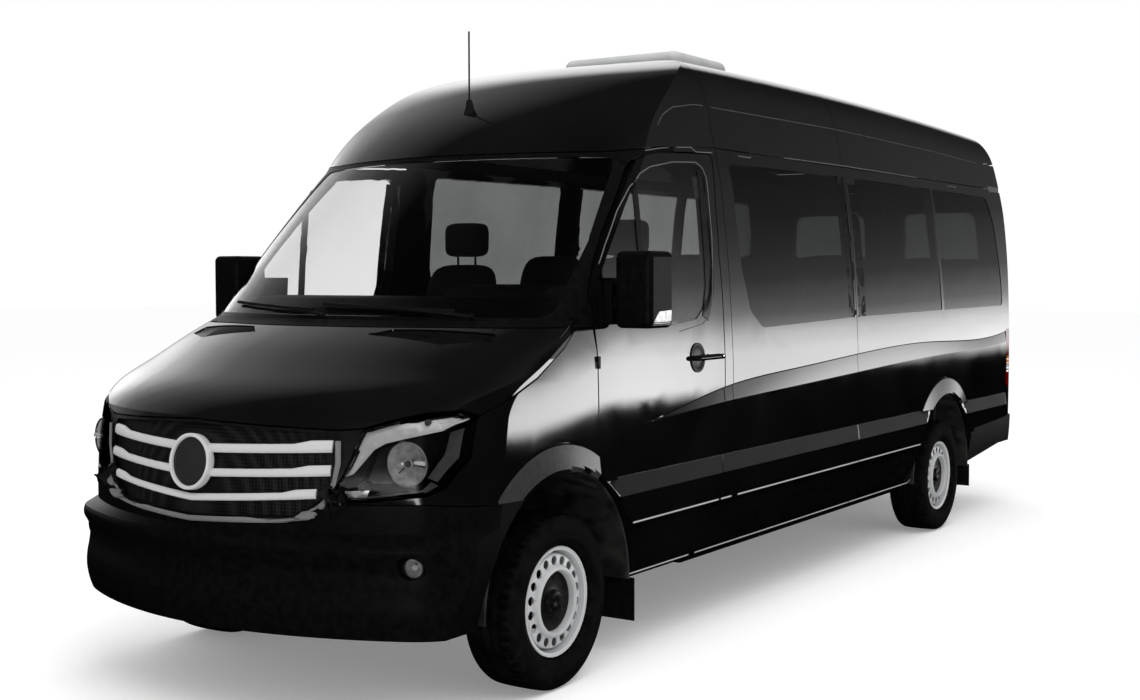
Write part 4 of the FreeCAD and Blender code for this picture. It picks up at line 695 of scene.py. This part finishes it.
def addSeatPads(bm, x, station, top, headrest):
    floor, half = seatShape["floor"], seatShape["width"] / 2
    back = station + seatShape["depth"]
    inset = 0.012
    addPad(bm, at(x - half + 0.003, station + 0.004, floor + 0.312),
           at(x + half - 0.003, back - 0.004, floor + seatShape["top"] - inset))
    low = at(x - half + 0.003, back - 0.040, floor + 0.37)
    high = at(x + half - 0.003, back + 0.052, floor + top - 0.006)
    lean = 0.142 / (high.z - low.z)
    addPad(bm, low, high, lean, crown=(0, -0.012, 0))
    if headrest:
        addPad(bm, at(x - 0.123, back + 0.126, floor + top + 0.034),
               at(x + 0.123, back + 0.205, floor + headrest),
               0.02, crown=(0, -0.008, 0), cuts=7, channel=0.0)


def addSeatFrame(bm, x, station, top, headrest):
    floor, half = seatShape["floor"], seatShape["width"] / 2
    back = station + seatShape["depth"]
    for side in (-1, 1):
        leg = x + side * (half - 0.045)
        addBox(bm, at(leg - 0.018, station + 0.07, floor), at(leg + 0.018, back - 0.03, floor + 0.022), 0.004)
        for spot in (0.10, 0.36):
            addRod(bm, at(leg, station + spot, floor + 0.02), at(leg, station + spot + 0.02, floor + 0.30),
                   0.014)
        addBox(bm, at(leg - 0.016, station + 0.04, floor + 0.292),
               at(leg + 0.016, back - 0.03, floor + 0.312), 0.004)
        if headrest:
            addRod(bm, at(x + side * 0.055, back + 0.165, floor + top - 0.03),
                   at(x + side * 0.055, back + 0.165, floor + top + 0.06), 0.006)
    addBox(bm, at(x - half + 0.03, station + 0.03, floor + 0.300),
           at(x + half - 0.03, back - 0.03, floor + 0.3115))


def makeSeats(name, places, top, headrest, node):
    pads, frames = bmesh.new(), bmesh.new()
    for x, station in places:
        addSeatPads(pads, x, station, top, headrest)
        addSeatFrame(frames, x, station, top, headrest)
    cushions = finishPiece(name + "_cushions", pads, "seatCloth", "body", sharp=70,
                           replaces=(node,))
    finishPiece(name + "_frames", frames, "frameSteel", "body")


makeSeats("front_seat", (seatShape["driver"], seatShape["passenger"]), seatShape["frontTop"],
          seatShape["headrestTop"], "front_seats")
makeSeats("passenger_seat", [(x, row) for row in seatShape["rows"] for x in seatShape["places"]],
          seatShape["rowTop"], 0.0, "passenger_seats")
print("seats made")


# Lines and outlines that the front's pieces follow
forward = (0, 1, 0)


def frontLine(points):
    return [at(x, -0.6, z) for x, z in points]


def eased(points, steps=6):  # an outline in x and z, with its corners rounded by their third value
    line = []
    for before, corner, after in zip([points[0]] + list(points), points, list(points[1:]) + [points[-1]]):
        spot = Vector(corner[:2])
        if len(corner) < 3:
            line.append(spot)
            continue
        start = spot + (Vector(before[:2]) - spot).normalized() * corner[2]
        end = spot + (Vector(after[:2]) - spot).normalized() * corner[2]
        line += [start.lerp(spot, i / steps).lerp(spot.lerp(end, i / steps),
                                                  i / steps) for i in range(steps + 1)]
    return line


def beside(line, distance):  # the line moved sideways in the front view
    moved = []
    for index, spot in enumerate(line):
        run = line[min(index + 1, len(line) - 1)] - line[max(index - 1, 0)]
        moved.append(spot + Vector((run.y, -run.x)).normalized() * distance)
    return moved


def drape(points, target, aim, lift=0.0, step=0.012):
    line = []
    for a, b in zip(points, points[1:]):
        count = max(1, round((b - a).length / step))
        line += [landOn(target, a.lerp(b, i / count), aim, lift) for i in range(count)]
    return line + [landOn(target, points[-1], aim, lift)]


def smoothed(line, reach=7, rounds=3):  # a fitted line with its depth evened out
    depths = [spot.y for spot in line]
    for _ in range(rounds):
        spans = [depths[max(0, i - reach):i + reach + 1] for i in range(len(depths))]
        depths = [sum(span) / len(span) for span in spans]
    return [Vector((spot.x, depth, spot.z)) for spot, depth in zip(line, depths)]


# Headlamps: a clear lens over a dark bowl with a bright brow, a round lamp, an indicator and grey walls
lampShape = {
    "low": ((0.5640, 0.8130), (0.697, 0.8210), (0.867, 0.8400), (0.909, 0.867), (0.9505, 0.960),
            (0.9575, 1.098)),
    "high": ((0.5655, 0.8170), (0.6190, 0.913), (0.6425, 0.990), (0.6665, 1.062), (0.774, 1.0985),
             (0.853, 1.1175),
             (0.922, 1.1235), (0.9565, 1.1025)),
    "browLow": ((0.620, 0.906), (0.645, 0.916), (0.672, 0.953), (0.706, 1.002), (0.740, 1.024),
                (0.800, 1.041),
                (0.900, 1.066), (0.950, 1.104)),
    "browHigh": ((0.622, 0.914), (0.645, 0.990), (0.670, 1.060), (0.774, 1.094), (0.853, 1.112),
                 (0.920, 1.118),
                 (0.952, 1.108)),
    "sideLow": ((0.900, 0.884), (0.944, 0.965), (0.948, 1.070)),
    "sideHigh": ((0.874, 0.900), (0.914, 0.98), (0.922, 1.058)),
    "footLow": ((0.585, 0.8165), (0.697, 0.8250), (0.866, 0.8440), (0.902, 0.872)),
    "footHigh": ((0.589, 0.8235), (0.697, 0.8330), (0.858, 0.8560), (0.884, 0.886)),
    "markerLow": ((0.592, 0.8270), (0.692, 0.8330)), "markerHigh": ((0.606, 0.852), (0.700, 0.857)),
    "lens": 0.0035, "depth": 0.060, "roundPlace": (0.812, 0.950), "roundRadius": 0.080,
    "roundTurn": (0.22, -0.975, 0.0)}


def browForm(u, w):
    ribs = 0.0016 * math.cos(w * 2 * math.pi * 7) if u > 0.64 else 0.0
    bulb = 0.012 * math.sin(math.pi * (u - 0.44) / 0.19) if 0.44 < u < 0.63 else 0.0
    return -0.030 + 0.016 * (1 - w) ** 0.7 + ribs + bulb * (1 - (2 * w - 1) ** 2)


def makeHeadlamps():
    target = rayTarget("headlamps")
    shape = lampShape
    low, high = (drape(frontLine(shape[key]), target, forward) for key in ("low", "high"))
    bm = bmesh.new()
    skinPatch(bm, low, high, (64, 22), target, forward, -0.0002, shape["lens"])
    mirrorAcross(bm)
    finishPiece("headlamp_lenses", bm, "clearLens", "body", replaces=("headlamps",))
    bm = bmesh.new()
    skinPatch(bm, low, high, (48, 16), target, forward, -0.0045, 0.0)
    thicken(bm, bm.faces[:], shape["depth"], shell=False)
    bmesh.ops.recalc_face_normals(bm, faces=bm.faces[:])
    bm.normal_update()
    if sum(face.normal.y * face.calc_area() for face in bm.faces) > 0:
        bmesh.ops.reverse_faces(bm, faces=bm.faces[:])
    mirrorAcross(bm)
    finishPiece("headlamp_bowls", bm, "glossBlack", "body")
    bm = bmesh.new()
    browLow, browHigh = (drape(frontLine(shape[key]), target, forward) for key in ("browLow", "browHigh"))
    skinPatch(bm, browLow, browHigh, (90, 34), target, forward, 0.0, 0.0015, browForm)
    addTube(bm, drape(frontLine(shape["browLow"]), target, forward, -0.014), 0.0028)
    mirrorAcross(bm)
    finishPiece("headlamp_brows", bm, "reflector", "body")
    bm = bmesh.new()
    for name, lift in (("side", -0.022), ("foot", -0.016)):
        edges = (drape(frontLine(shape[name + key]), target, forward) for key in ("Low", "High"))
        skinPatch(bm, *edges, (24, 6), target, forward, lift, 0.002)
    mirrorAcross(bm)
    finishPiece("headlamp_walls", bm, "lampWall", "body")
    makeLampParts(target)


def makeLampParts(target):
    shape = lampShape
    radius = shape["roundRadius"]
    centre = landOn(target, at(shape["roundPlace"][0], -0.6, shape["roundPlace"][1]), forward, -0.020)
    out = Vector(shape["roundTurn"]).normalized()
    bm = bmesh.new()
    addSpun(bm, [(-0.040, 0.0), (-0.039, 0.016), (-0.033, 0.036), (-0.020, 0.058), (0.002, radius - 0.001),
                 (0.000, radius + 0.001), (-0.023, 0.060), (-0.036, 0.036), (-0.042, 0.016), (-0.043, 0.0)],
            centre, out, 56)
    addRod(bm, centre - out * 0.036, centre - out * 0.004, 0.015, 0.019, 24)
    addRod(bm, centre - out * 0.006 + Vector((0.030, 0, 0.006)),
           centre - out * 0.006 + Vector((0.074, 0, 0.006)), 0.008)
    mirrorAcross(bm)
    finishPiece("headlamp_reflectors", bm, "lampBowl", "body", merge=True)
    bm = bmesh.new()
    addSpun(bm, [(0.001, radius - 0.002), (0.006, radius), (0.0075, radius + 0.002), (0.005, radius + 0.004),
                 (-0.003, radius + 0.003), (-0.003, radius)], centre, out, 72, closed=True)
    edges = (drape(frontLine(shape["marker" + key]), target, forward) for key in ("Low", "High"))
    skinPatch(bm, *edges, (16, 6), target, forward, -0.012, 0.002)
    mirrorAcross(bm)
    finishPiece("headlamp_rings", bm, "brightTrim", "body")
    bm = bmesh.new()
    addRod(bm, centre - out * 0.004, centre + out * 0.002, 0.0125, 0.0105, 20)
    across = out.cross(Vector((0, 0, 1))).normalized()
    for turn, reach in ((0.14, 0.070), (2.4, 0.050)):
        addRod(bm, centre - out * 0.012, centre - out * 0.006 - across * reach * math.cos(turn) -
               Vector((0, 0, reach * math.sin(turn))), 0.0045, 0.003)
    for x, z, size in ((0.676, 0.868, 0.017), (0.856, 1.099, 0.011)):
        spot = landOn(target, at(x, -0.6, z), forward, -0.016)
        addSpun(bm, [(-0.012, 0.0), (-0.012, size), (0.0, size), (0.006, size * 0.8), (0.010, size * 0.4),
                     (0.011, 0.0)],
                spot, out, 24)
    mirrorAcross(bm)
    finishPiece("headlamp_bulbs", bm, "lampWall", "body")


makeHeadlamps()
print("headlamps made")


# Grille: crowned bars with broad outer ends, the ring round the mouth, a plain disc and its rim
grilleShape = {
    "bars": ((1.006, 0.985, 0.044, 0.5640), (0.922, 0.897, 0.040, 0.5640), (0.840, 0.806, 0.036, 0.5180)),
    "slender": 0.72, "footAt": 0.76, "footEnd": 0.86,
    "mouth": ((0.5885, 1.030), (0.590, 0.950), (0.574, 0.880), (0.535, 0.815, 0.030), (0.441, 0.758, 0.045),
              (0.0, 0.738)),
    "ringWidth": 0.021, "discPlace": (0.0, 0.929), "discRadius": 0.103}


def makeGrille():
    shape = grilleShape
    bars = rayTarget("grille_mesh")
    bm = bmesh.new()
    for outerZ, innerZ, thick, reach in shape["bars"]:
        a, b = shape["footAt"] * reach, shape["footEnd"] * reach
        slim = thick * shape["slender"]
        lowAt = [(0.0, innerZ - thick * 0.48),
                 (a, innerZ + (outerZ - innerZ) * shape["footAt"] - thick * 0.48),
                 (b, innerZ + (outerZ - innerZ) * shape["footEnd"] - thick * 0.48),
                 (reach, outerZ - thick * 0.48)]
        highAt = [(x, z + slim) for x, z in lowAt[:2]] + [(x, z + thick * 0.96) for x, z in lowAt[2:]]
        low, high = (drape(frontLine(line), bars, forward) for line in (lowAt, highAt))
        skinPatch(bm, low, high, (60, 10), bars, forward, 0.026, 0.016, lambda u,
                  w: -0.009 * (2 * w - 1) ** 4 - 0.001)
    mirrorAcross(bm)
    finishPiece("grille_bright_bars", bm, "barTrim", "body", replaces=("grille_bars",))
    surround = rayTarget("grille", "front_bumper")
    edge = eased(shape["mouth"])
    low, high = ([at(p.x, -0.6, p.y) for p in beside(edge, d)] for d in (-0.0015, -shape["ringWidth"]))
    low, high = (smoothed(drape(line, surround, forward)) for line in (low, high))
    bm = bmesh.new()
    skinPatch(bm, low, high, (110, 8), None, forward, 0.006, 0.010, lambda u,
              w: 0.007 * math.sin(math.pi * w))
    mirrorAcross(bm)
    finishPiece("grille_ring", bm, "ringTrim", "body")
    x, z = shape["discPlace"]
    centre = landOn(bars, at(x, -0.6, z), forward, 0.027)
    top = landOn(bars, at(x, -0.6, z + 0.06), forward, 0.027)
    out = Vector((0, -(top - centre).z, (top - centre).y)).normalized()
    radius = shape["discRadius"]
    bm = bmesh.new()
    addSpun(bm, [(0.002, radius - 0.014), (0.008, radius - 0.012), (0.011, radius - 0.006), (0.008, radius),
                 (-0.006, radius + 0.001), (-0.020, radius), (-0.020, radius - 0.012)], centre, out, 96,
            closed=True)
    finishPiece("grille_disc_rim", bm, "barTrim", "body", merge=True)
    bm = bmesh.new()
    addSpun(bm, [(0.006, 0.0), (0.0055, 0.03), (0.003, 0.06), (-0.001, radius - 0.013),
                 (-0.012, radius - 0.012),
                 (-0.014, 0.0)], centre, out, 72)
    finishPiece("grille_disc", bm, "discFace", "body", merge=True)


makeGrille()


# Vents of the hood: slats lying in the two pockets
ventShape = {"front": ((0.640, -0.329), (0.305, -0.357)), "rear": ((0.786, -0.182), (0.380, -0.291)),
             "slats": 9,
             "outerFront": (0.803, -0.229), "lift": 0.0008, "height": 0.0050}


def makeVents():
    target = rayTarget("hood")
    shape = ventShape
    bm = bmesh.new()
    front = [at(x, y, 1.35) for x, y in (shape["outerFront"],) + shape["front"]]
    rear = [at(x, y, 1.35) for x, y in ((0.797, -0.206),) + shape["rear"]]
    down = (0, 0, -1)
    low, high = (drape(line, target, down) for line in (front, rear))
    skinPatch(bm, low, high, (40, shape["slats"] * 6), target, down, shape["lift"], 0.0008,
              lambda u, w: shape["height"] * (w * shape["slats"] % 1.0))
    mirrorAcross(bm)
    finishPiece("hood_vent_slats", bm, "capBlack", "hood", sharp=25)


makeVents()


# Front fog lamps: a reflector, a lens and a bezel in the bumper's bores
fogShape = {"radius": 0.042, "bezel": 0.0075}


def makeFogLamps():
    target = rayTarget("fog_lamps")
    low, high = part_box("fog_lamps")
    radius = fogShape["radius"]
    place = landOn(target, at(high.x - radius, -0.6, (low.z + high.z) / 2), forward, 0.0)
    out = Vector((0.30, -0.95, 0.0)).normalized()
    centre = place + Vector((0, 0.020, 0))
    bm = bmesh.new()
    addSpun(bm, [(-0.030, 0.0), (-0.026, 0.018), (-0.010, 0.032), (0.002, radius - 0.007),
                 (0.000, radius - 0.005),
                 (-0.013, 0.033), (-0.030, 0.018), (-0.034, 0.0)], centre, out, 40)
    addRod(bm, centre - out * 0.028, centre - out * 0.008, 0.009, 0.011, 16)
    mirrorAcross(bm)
    finishPiece("fog_lamp_reflectors", bm, "lampBowl", "body", merge=True,
                replaces=("fog_lamps",))
    bm = bmesh.new()
    addSpun(bm, [(0.009, 0.0), (0.008, 0.016), (0.004, radius - 0.009), (0.001, radius - 0.007),
                 (0.001, radius - 0.012), (0.005, 0.016), (0.006, 0.0)], centre, out, 40)
    mirrorAcross(bm)
    finishPiece("fog_lamp_lenses", bm, "clearLens", "body", merge=True)
    bm = bmesh.new()
    addSpun(bm, [(0.003, radius - 0.008), (0.007, radius - 0.006), (0.006, radius - 0.001),
                 (-0.020, radius - 0.001),
                 (-0.020, radius - 0.006)], centre, out, 48, closed=True)
    mirrorAcross(bm)
    finishPiece("fog_lamp_bezels", bm, "glossBlack", "body", merge=True)


makeFogLamps()
print("front dressed")


# Sides: the grey faces of the mouldings, and below them thin grey strips that are painted highlights standing
# in for the bright edge reflections of the ledge and the sill
sideRuns = {
    "moulding": {"low": 0.7095, "high": 0.7897, "lift": 0.0008, "thick": 0.0025, "look": "moulding",
                 "slot": "black_trim",
                 "runs": (("door", (0.384, 1.2665), (0.370, 1.283)),
                          ("front", (1.2765, 2.883), (1.2945, 2.883)),
                          ("rear", (2.897, 3.992), (2.897, 3.992)),
                          ("rear", (4.664, 5.540), (4.664, 5.540)))},
    # the line and sill runs are grey strips painted as edge highlights on the black body
    "line": {"low": 0.5870, "high": 0.5935, "lift": 0.0010, "thick": 0.0026, "look": "lineTrim",
             "slot": "bright_trim",
             "runs": (("door", (0.455, 1.236), (0.455, 1.236)), ("front", (1.262, 2.883), (1.262, 2.883)),
                      ("rear", (2.897, 3.880), (2.897, 3.880)))},
    "sill_highlight": {"low": 0.3560, "high": 0.3620, "lift": 0.0008, "thick": 0.0015, "look": "lineTrim",
                  "slot": "bright_trim",
                  "runs": (("door", (0.515, 1.060), (0.515, 1.060)),
                           ("front", (1.120, 2.883), (1.120, 2.883)),
                           ("rear", (2.897, 3.860), (2.897, 3.860)))}}
mouldingNose = ((0.306, 0.776), (0.370, 0.7897))  # the upper edge drops where the moulding meets the arch
postSplit = (1.394, 1.403)  # stations of the gap between the right post and the sliding door


def sideNodes(place, side):  # the panels that a run crosses, with their bodies and the stations they cover
    if place == "door":
        name = "door_left" if side > 0 else "door_right"
        return [(name, name, 0.0, 9.0)]
    if place == "rear":
        return [("side_panel_left_rear" if side > 0 else "side_panel_right_rear", "body", 0.0, 9.0)]
    if side > 0:
        return [("side_panel_left_front", "body", 0.0, 9.0)]
    return [("post_right", "body", 0.0, postSplit[0]), ("sliding_door", "body", postSplit[1], 9.0)]


def makeSideTrim():
    for name, strip in sideRuns.items():
        for side, word in sides:
            byBody = {}
            for place, *ends in strip["runs"]:
                for node, body, first, last in sideNodes(place, side):
                    bm = byBody.setdefault(body, bmesh.new())
                    low, high = ([at(side, min(max(station, first), last), z) for station in pair]
                                 for pair, z in zip(ends, (strip["low"], strip["high"])))
                    if name == "moulding" and place == "door":
                        high[:1] = [at(side, station, z) for station, z in mouldingNose]
                    cells = max(8, int((low[-1] - low[0]).length * 30))
                    skinPatch(bm, low, high, (cells, 4), rayTarget(node), (-side, 0, 0), strip["lift"],
                              strip["thick"])
            for body, bm in byBody.items():
                finishPiece("%s_%s_%s" % (name, word, body), bm, strip["look"], body)


makeSideTrim()


# Front door handles: a round cup and the lock
handleShape = {"cupStation": 1.054, "cupRadius": 0.066, "height": 1.245, "lockStation": 1.226,
               "lockRadius": 0.0115}


def makeHandles():
    shape = handleShape
    for side, word in sides:
        target = rayTarget("door_" + word)
        aim = (-side, 0, 0)
        above, below = (landOn(target, at(side, shape["cupStation"], shape["height"] + step), aim, 0.0)
                        for step in (0.052, -0.052))
        centre = (above + below) / 2
        out = (above - below).cross(Vector((0, side, 0))).normalized() * side
        out = out if out.x * side > 0 else -out
        bm = bmesh.new()
        radius = shape["cupRadius"]
        addSpun(bm, [(-0.002, 0.0), (-0.002, radius), (0.0035, radius), (0.0045, radius - 0.004),
                     (0.002, radius * 0.8),
                     (0.001, radius * 0.4), (0.001, 0.0)], centre + out * 0.001, out, 48)
        finishPiece("door_handle_cup_" + word, bm, "capBlack", "door_" + word, merge=True)
        bm = bmesh.new()
        spot = landOn(target, at(side, shape["lockStation"], shape["height"]), aim, 0.0)
        radius = shape["lockRadius"]
        addSpun(bm, [(0.0, 0.0), (0.0, radius), (0.003, radius), (0.004, radius * 0.8), (0.0035, 0.0)], spot,
                (side, 0, 0), 28)
        finishPiece("door_lock_" + word, bm, "brightTrim", "door_" + word, merge=True)


makeHandles()


# Thin folds and seams: two along each side of the roof, and the edge round each front door's window, drawn as
# thin tubes whose grey is painted highlight along the folds and the window's edge
seamShape = {"radius": 0.0021, "step": 0.04, "roofLines": (("eave", 0.0010, 0.0021), ("fold", 0.0, 0.0010)),
             "eave": ((0.745, 2.140), (0.861, 2.158), (0.994, 2.172), (1.206, 2.188), (1.360, 2.196),
                      (2.926, 2.209),
                      (5.480, 2.206)),
             "fold": ((0.900, 2.265), (0.935, 2.298), (0.967, 2.319), (1.062, 2.358), (1.277, 2.390),
                      (2.879, 2.409),
                      (4.402, 2.397), (5.273, 2.377)),
             "window": ((0.300, 1.655), (0.361, 1.732), (0.482, 1.874), (0.588, 1.976), (0.671, 2.037),
                        (0.767, 2.073),
                        (0.969, 2.106), (1.183, 2.118), (1.235, 2.098), (1.262, 2.052), (1.254, 1.780),
                        (1.210, 1.472),
                        (1.175, 1.420), (1.113, 1.392), (0.904, 1.366)),
             "borderInner": ((1.118, 1.430), (1.165, 1.560), (1.185, 2.085)),
             "borderOuter": ((1.170, 1.405), (1.236, 1.540), (1.240, 2.085))}


def makeSeams():
    shape = seamShape
    roof = ("windscreen_frame", "roof_front", "roof_middle", "roof_rear")
    for side, word in sides:
        aim = (-side, 0, 0)
        panels = ("side_panel_left_front", "side_panel_left_rear") if side > 0 else ("sliding_door",
                                                                                     "side_panel_right_rear")
        target = rayTarget(*roof, *panels)
        bm = bmesh.new()
        for name, lift, radius in shape["roofLines"]:
            line = drape([at(side, station, z) for station, z in shape[name]], target, aim, lift,
                         shape["step"])
            # the tubes' grey is painted highlight along the roof's folds
            addTube(bm, line, radius, squareness=1)
        finishPiece("roof_seam_highlights_" + word, bm, "ringTrim", "body")
        target = rayTarget("door_" + word, "door_window_" + word)
        bm = bmesh.new()
        line = drape([at(side, station, z) for station, z in shape["window"]], target, aim, 0.001, 0.02)
        addTube(bm, line, shape["radius"], squareness=1)
        finishPiece("door_window_edge_highlight_" + word, bm, "ringTrim", "door_" + word)
        bm = bmesh.new()
        lines = ([at(side, station, z) for station, z in shape[name]] for name in ("borderInner",
                                                                                   "borderOuter"))
        skinPatch(bm, *lines, (30, 6), target, aim, 0.0025, 0.002)
        finishPiece("door_window_border_" + word, bm, "glossBlack", "door_" + word)


makeSeams()


# The cab as seen through the glass: dash top, dividers of the door windows, linings between the side windows
cabShape = {"dash": ((0.06, 1.388), (0.10, 1.470), (0.20, 1.512), (0.34, 1.520), (0.44, 1.505), (0.50, 1.455),
                     (0.50, 1.386)), "dashReach": 0.84,
            "binnacle": ((0.22, 1.500), (0.30, 1.560), (0.40, 1.572), (0.47, 1.560), (0.49, 1.530),
                         (0.47, 1.480)),
            "binnacleReach": (0.20, 0.70),
            "divider": ((0.612, 0.040), (1.46, 2.050)), "lining": (2.795, 3.030),
            "liningHeight": (1.34, 2.16)}


def addProfile(bm, outline, low, high):  # an outline in station and z, drawn across the vehicle
    edge = [bm.verts.new(at(low, station, z)) for station, z in outline]
    face = bmesh.ops.contextual_create(bm, geom=edge)["faces"]
    made = bmesh.ops.extrude_face_region(bm, geom=face)["geom"]
    moved = [item for item in made if isinstance(item, bmesh.types.BMVert)]
    bmesh.ops.translate(bm, vec=(high - low, 0, 0), verts=moved)


def makeCab():
    shape = cabShape
    bm = bmesh.new()
    addProfile(bm, shape["dash"], -shape["dashReach"], shape["dashReach"])
    addProfile(bm, shape["binnacle"], *shape["binnacleReach"])
    bmesh.ops.bevel(bm, geom=bm.edges[:], offset=0.008, offset_type="OFFSET", segments=3, profile=0.5,
                    affect="EDGES", material=-1)
    finishPiece("dash_top", bm, "cabinPlastic", "body", recalculate=True)
    (station, width), (foot, top) = shape["divider"]
    for side, word in sides:
        target = rayTarget("door_window_" + word)
        bm = bmesh.new()
        lines = ([at(side, place, z) for z in (foot, top)] for place in (station - width / 2,
                                                                         station + width / 2))
        skinPatch(bm, *lines, (24, 4), target, (-side, 0, 0), 0.004, 0.006)
        finishPiece("window_divider_" + word, bm, "glossBlack", "door_" + word)
        target = rayTarget("side_windows_" + word)
        bm = bmesh.new()
        lines = ([at(side * 0.9, place, z) for place in shape["lining"]] for z in shape["liningHeight"])
        skinPatch(bm, *lines, (8, 16), target, (side, 0, 0), 0.006, 0.012)
        finishPiece("pillar_lining_" + word, bm, "cabinPlastic", "body")


makeCab()


# The faces of the arch flares, in grained plastic
archShape = {"flares": (("front_wings", -0.060, (54.2, 124.0), (60.8, 136.0)),
                        ("rear", 4.295, (56.0, 124.0), (44.0, 136.0))),
             "height": 0.392, "inner": 0.478, "outer": 0.571, "lift": 0.0006, "slope": 0.0135}


def makeArchFaces():
    for side, word in sides:
        bm = bmesh.new()
        for node, station, innerTurn, outerTurn in archShape["flares"]:
            name = node if node != "rear" else "side_panel_%s_rear" % word
            target = rayTarget(name)
            lines = []
            for radius, (start, end) in ((archShape["inner"], innerTurn), (archShape["outer"], outerTurn)):
                angles = [math.radians(start + (end - start) * i / 40) for i in range(41)]
                lines.append([at(side, station + radius * math.cos(a),
                                 archShape["height"] + radius * math.sin(a))
                              for a in angles])
            skinPatch(bm, *lines, (60, 8), target, (-side, 0, 0), archShape["lift"], 0.002,
                      lambda u, w: archShape["slope"] * (1 - w))
        finishPiece("arch_faces_" + word, bm, "archTrim", "body")


makeArchFaces()


# Mirrors: the glass in its housing, and the small lamp in the lower outer corner
mirrorShape = {"across": (1.0615, 1.1965), "rear": (0.4424, 0.4462), "tall": (1.4165, 1.6885), "edge": 0.0016,
               "lampFoot": ((0.278, 1.4135), (0.430, 1.4125)), "lampHead": ((0.332, 1.466), (0.430, 1.4715))}


def makeMirrors():
    shape = mirrorShape
    for side, word in sides:
        (inner, outer), (front, rear), (foot, top) = shape["across"], shape["rear"], shape["tall"]
        near, far = at(side * inner, front, foot), at(side * outer, rear, top)
        bm = bmesh.new()
        addBox(bm, (min(near.x, far.x), near.y, near.z), (max(near.x, far.x), far.y, far.z), shape["edge"], 2)
        finishPiece("mirror_glass_" + word, bm, "mirrorFace", "door_" + word)
        bm = bmesh.new()
        lines = ([at(side, station, z) for station, z in shape[name]] for name in ("lampFoot", "lampHead"))
        skinPatch(bm, *lines, (16, 8), rayTarget("mirror_" + word), (-side, 0, 0), 0.00015, 0.002)
        finishPiece("mirror_lamp_" + word, bm, "mirrorLamp", "door_" + word)


makeMirrors()


# Rear lamps: pale and amber bands over the red, and ribs
tailShape = {"aim": (-0.917, -0.40, 0), "across": (0.908, 0.994), "inset": 0.010, "ribHeight": 0.0006,
             "ribTurn": 50.0,
             "bands": {"whiteLens": (0.935, 0.985), "amberLens": (0.993, 1.045)}}


def makeTailBands():
    shape = tailShape
    target = rayTarget("tail_lamps")
    low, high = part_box("tail_lamps")
    inner, outer = shape["across"]
    ends = (Vector((inner, high.y - shape["inset"], 0)), Vector((outer, low.y + shape["inset"], 0)))
    for look, heights in shape["bands"].items():
        bm = bmesh.new()
        lines = ([end + Vector((0, 0, z)) for end in ends] for z in heights)
        skinPatch(bm, *lines, (24, 10), target, shape["aim"], 0.0004, 0.002,
                  lambda u, w: shape["ribHeight"] * math.cos(w * shape["ribTurn"]))
        mirrorAcross(bm)
        finishPiece("tail_%s_bands" % look[:5], bm, look, "body")


makeTailBands()


# Rear doors: the handle in its cup, and a bare plate
rearShape = {"plateAcross": (0.10, 0.62), "plateTall": (0.80, 0.91), "handleAcross": (-0.075, -0.205),
             "handleTall": (1.03, 1.12), "handleRise": 0.008}


def makeRearTrim():
    shape = rearShape
    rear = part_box("rear_door_left")[1].y
    target = rayTarget("rear_door_left", "rear_door_right")
    inward = (0, -1, 0)
    bm = bmesh.new()
    lines = ([Vector((x, rear, z)) for x in shape["plateAcross"]] for z in shape["plateTall"])
    skinPatch(bm, *lines, (12, 6), target, inward, 0.003, 0.003)
    finishPiece("rear_plate", bm, "plainPlate", "rear_door_left")
    bm = bmesh.new()
    lines = ([Vector((x, rear, z)) for x in shape["handleAcross"]] for z in shape["handleTall"])
    skinPatch(bm, *lines, (16, 12), target, inward, 0.002, 0.003,
              lambda u, w: shape["handleRise"] * (1 - abs(2 * w - 1)) * (abs(2 * u - 1) < 0.9))
    finishPiece("rear_handle", bm, "blackTrim", "rear_door_right")


makeRearTrim()
print("sides and rear dressed")
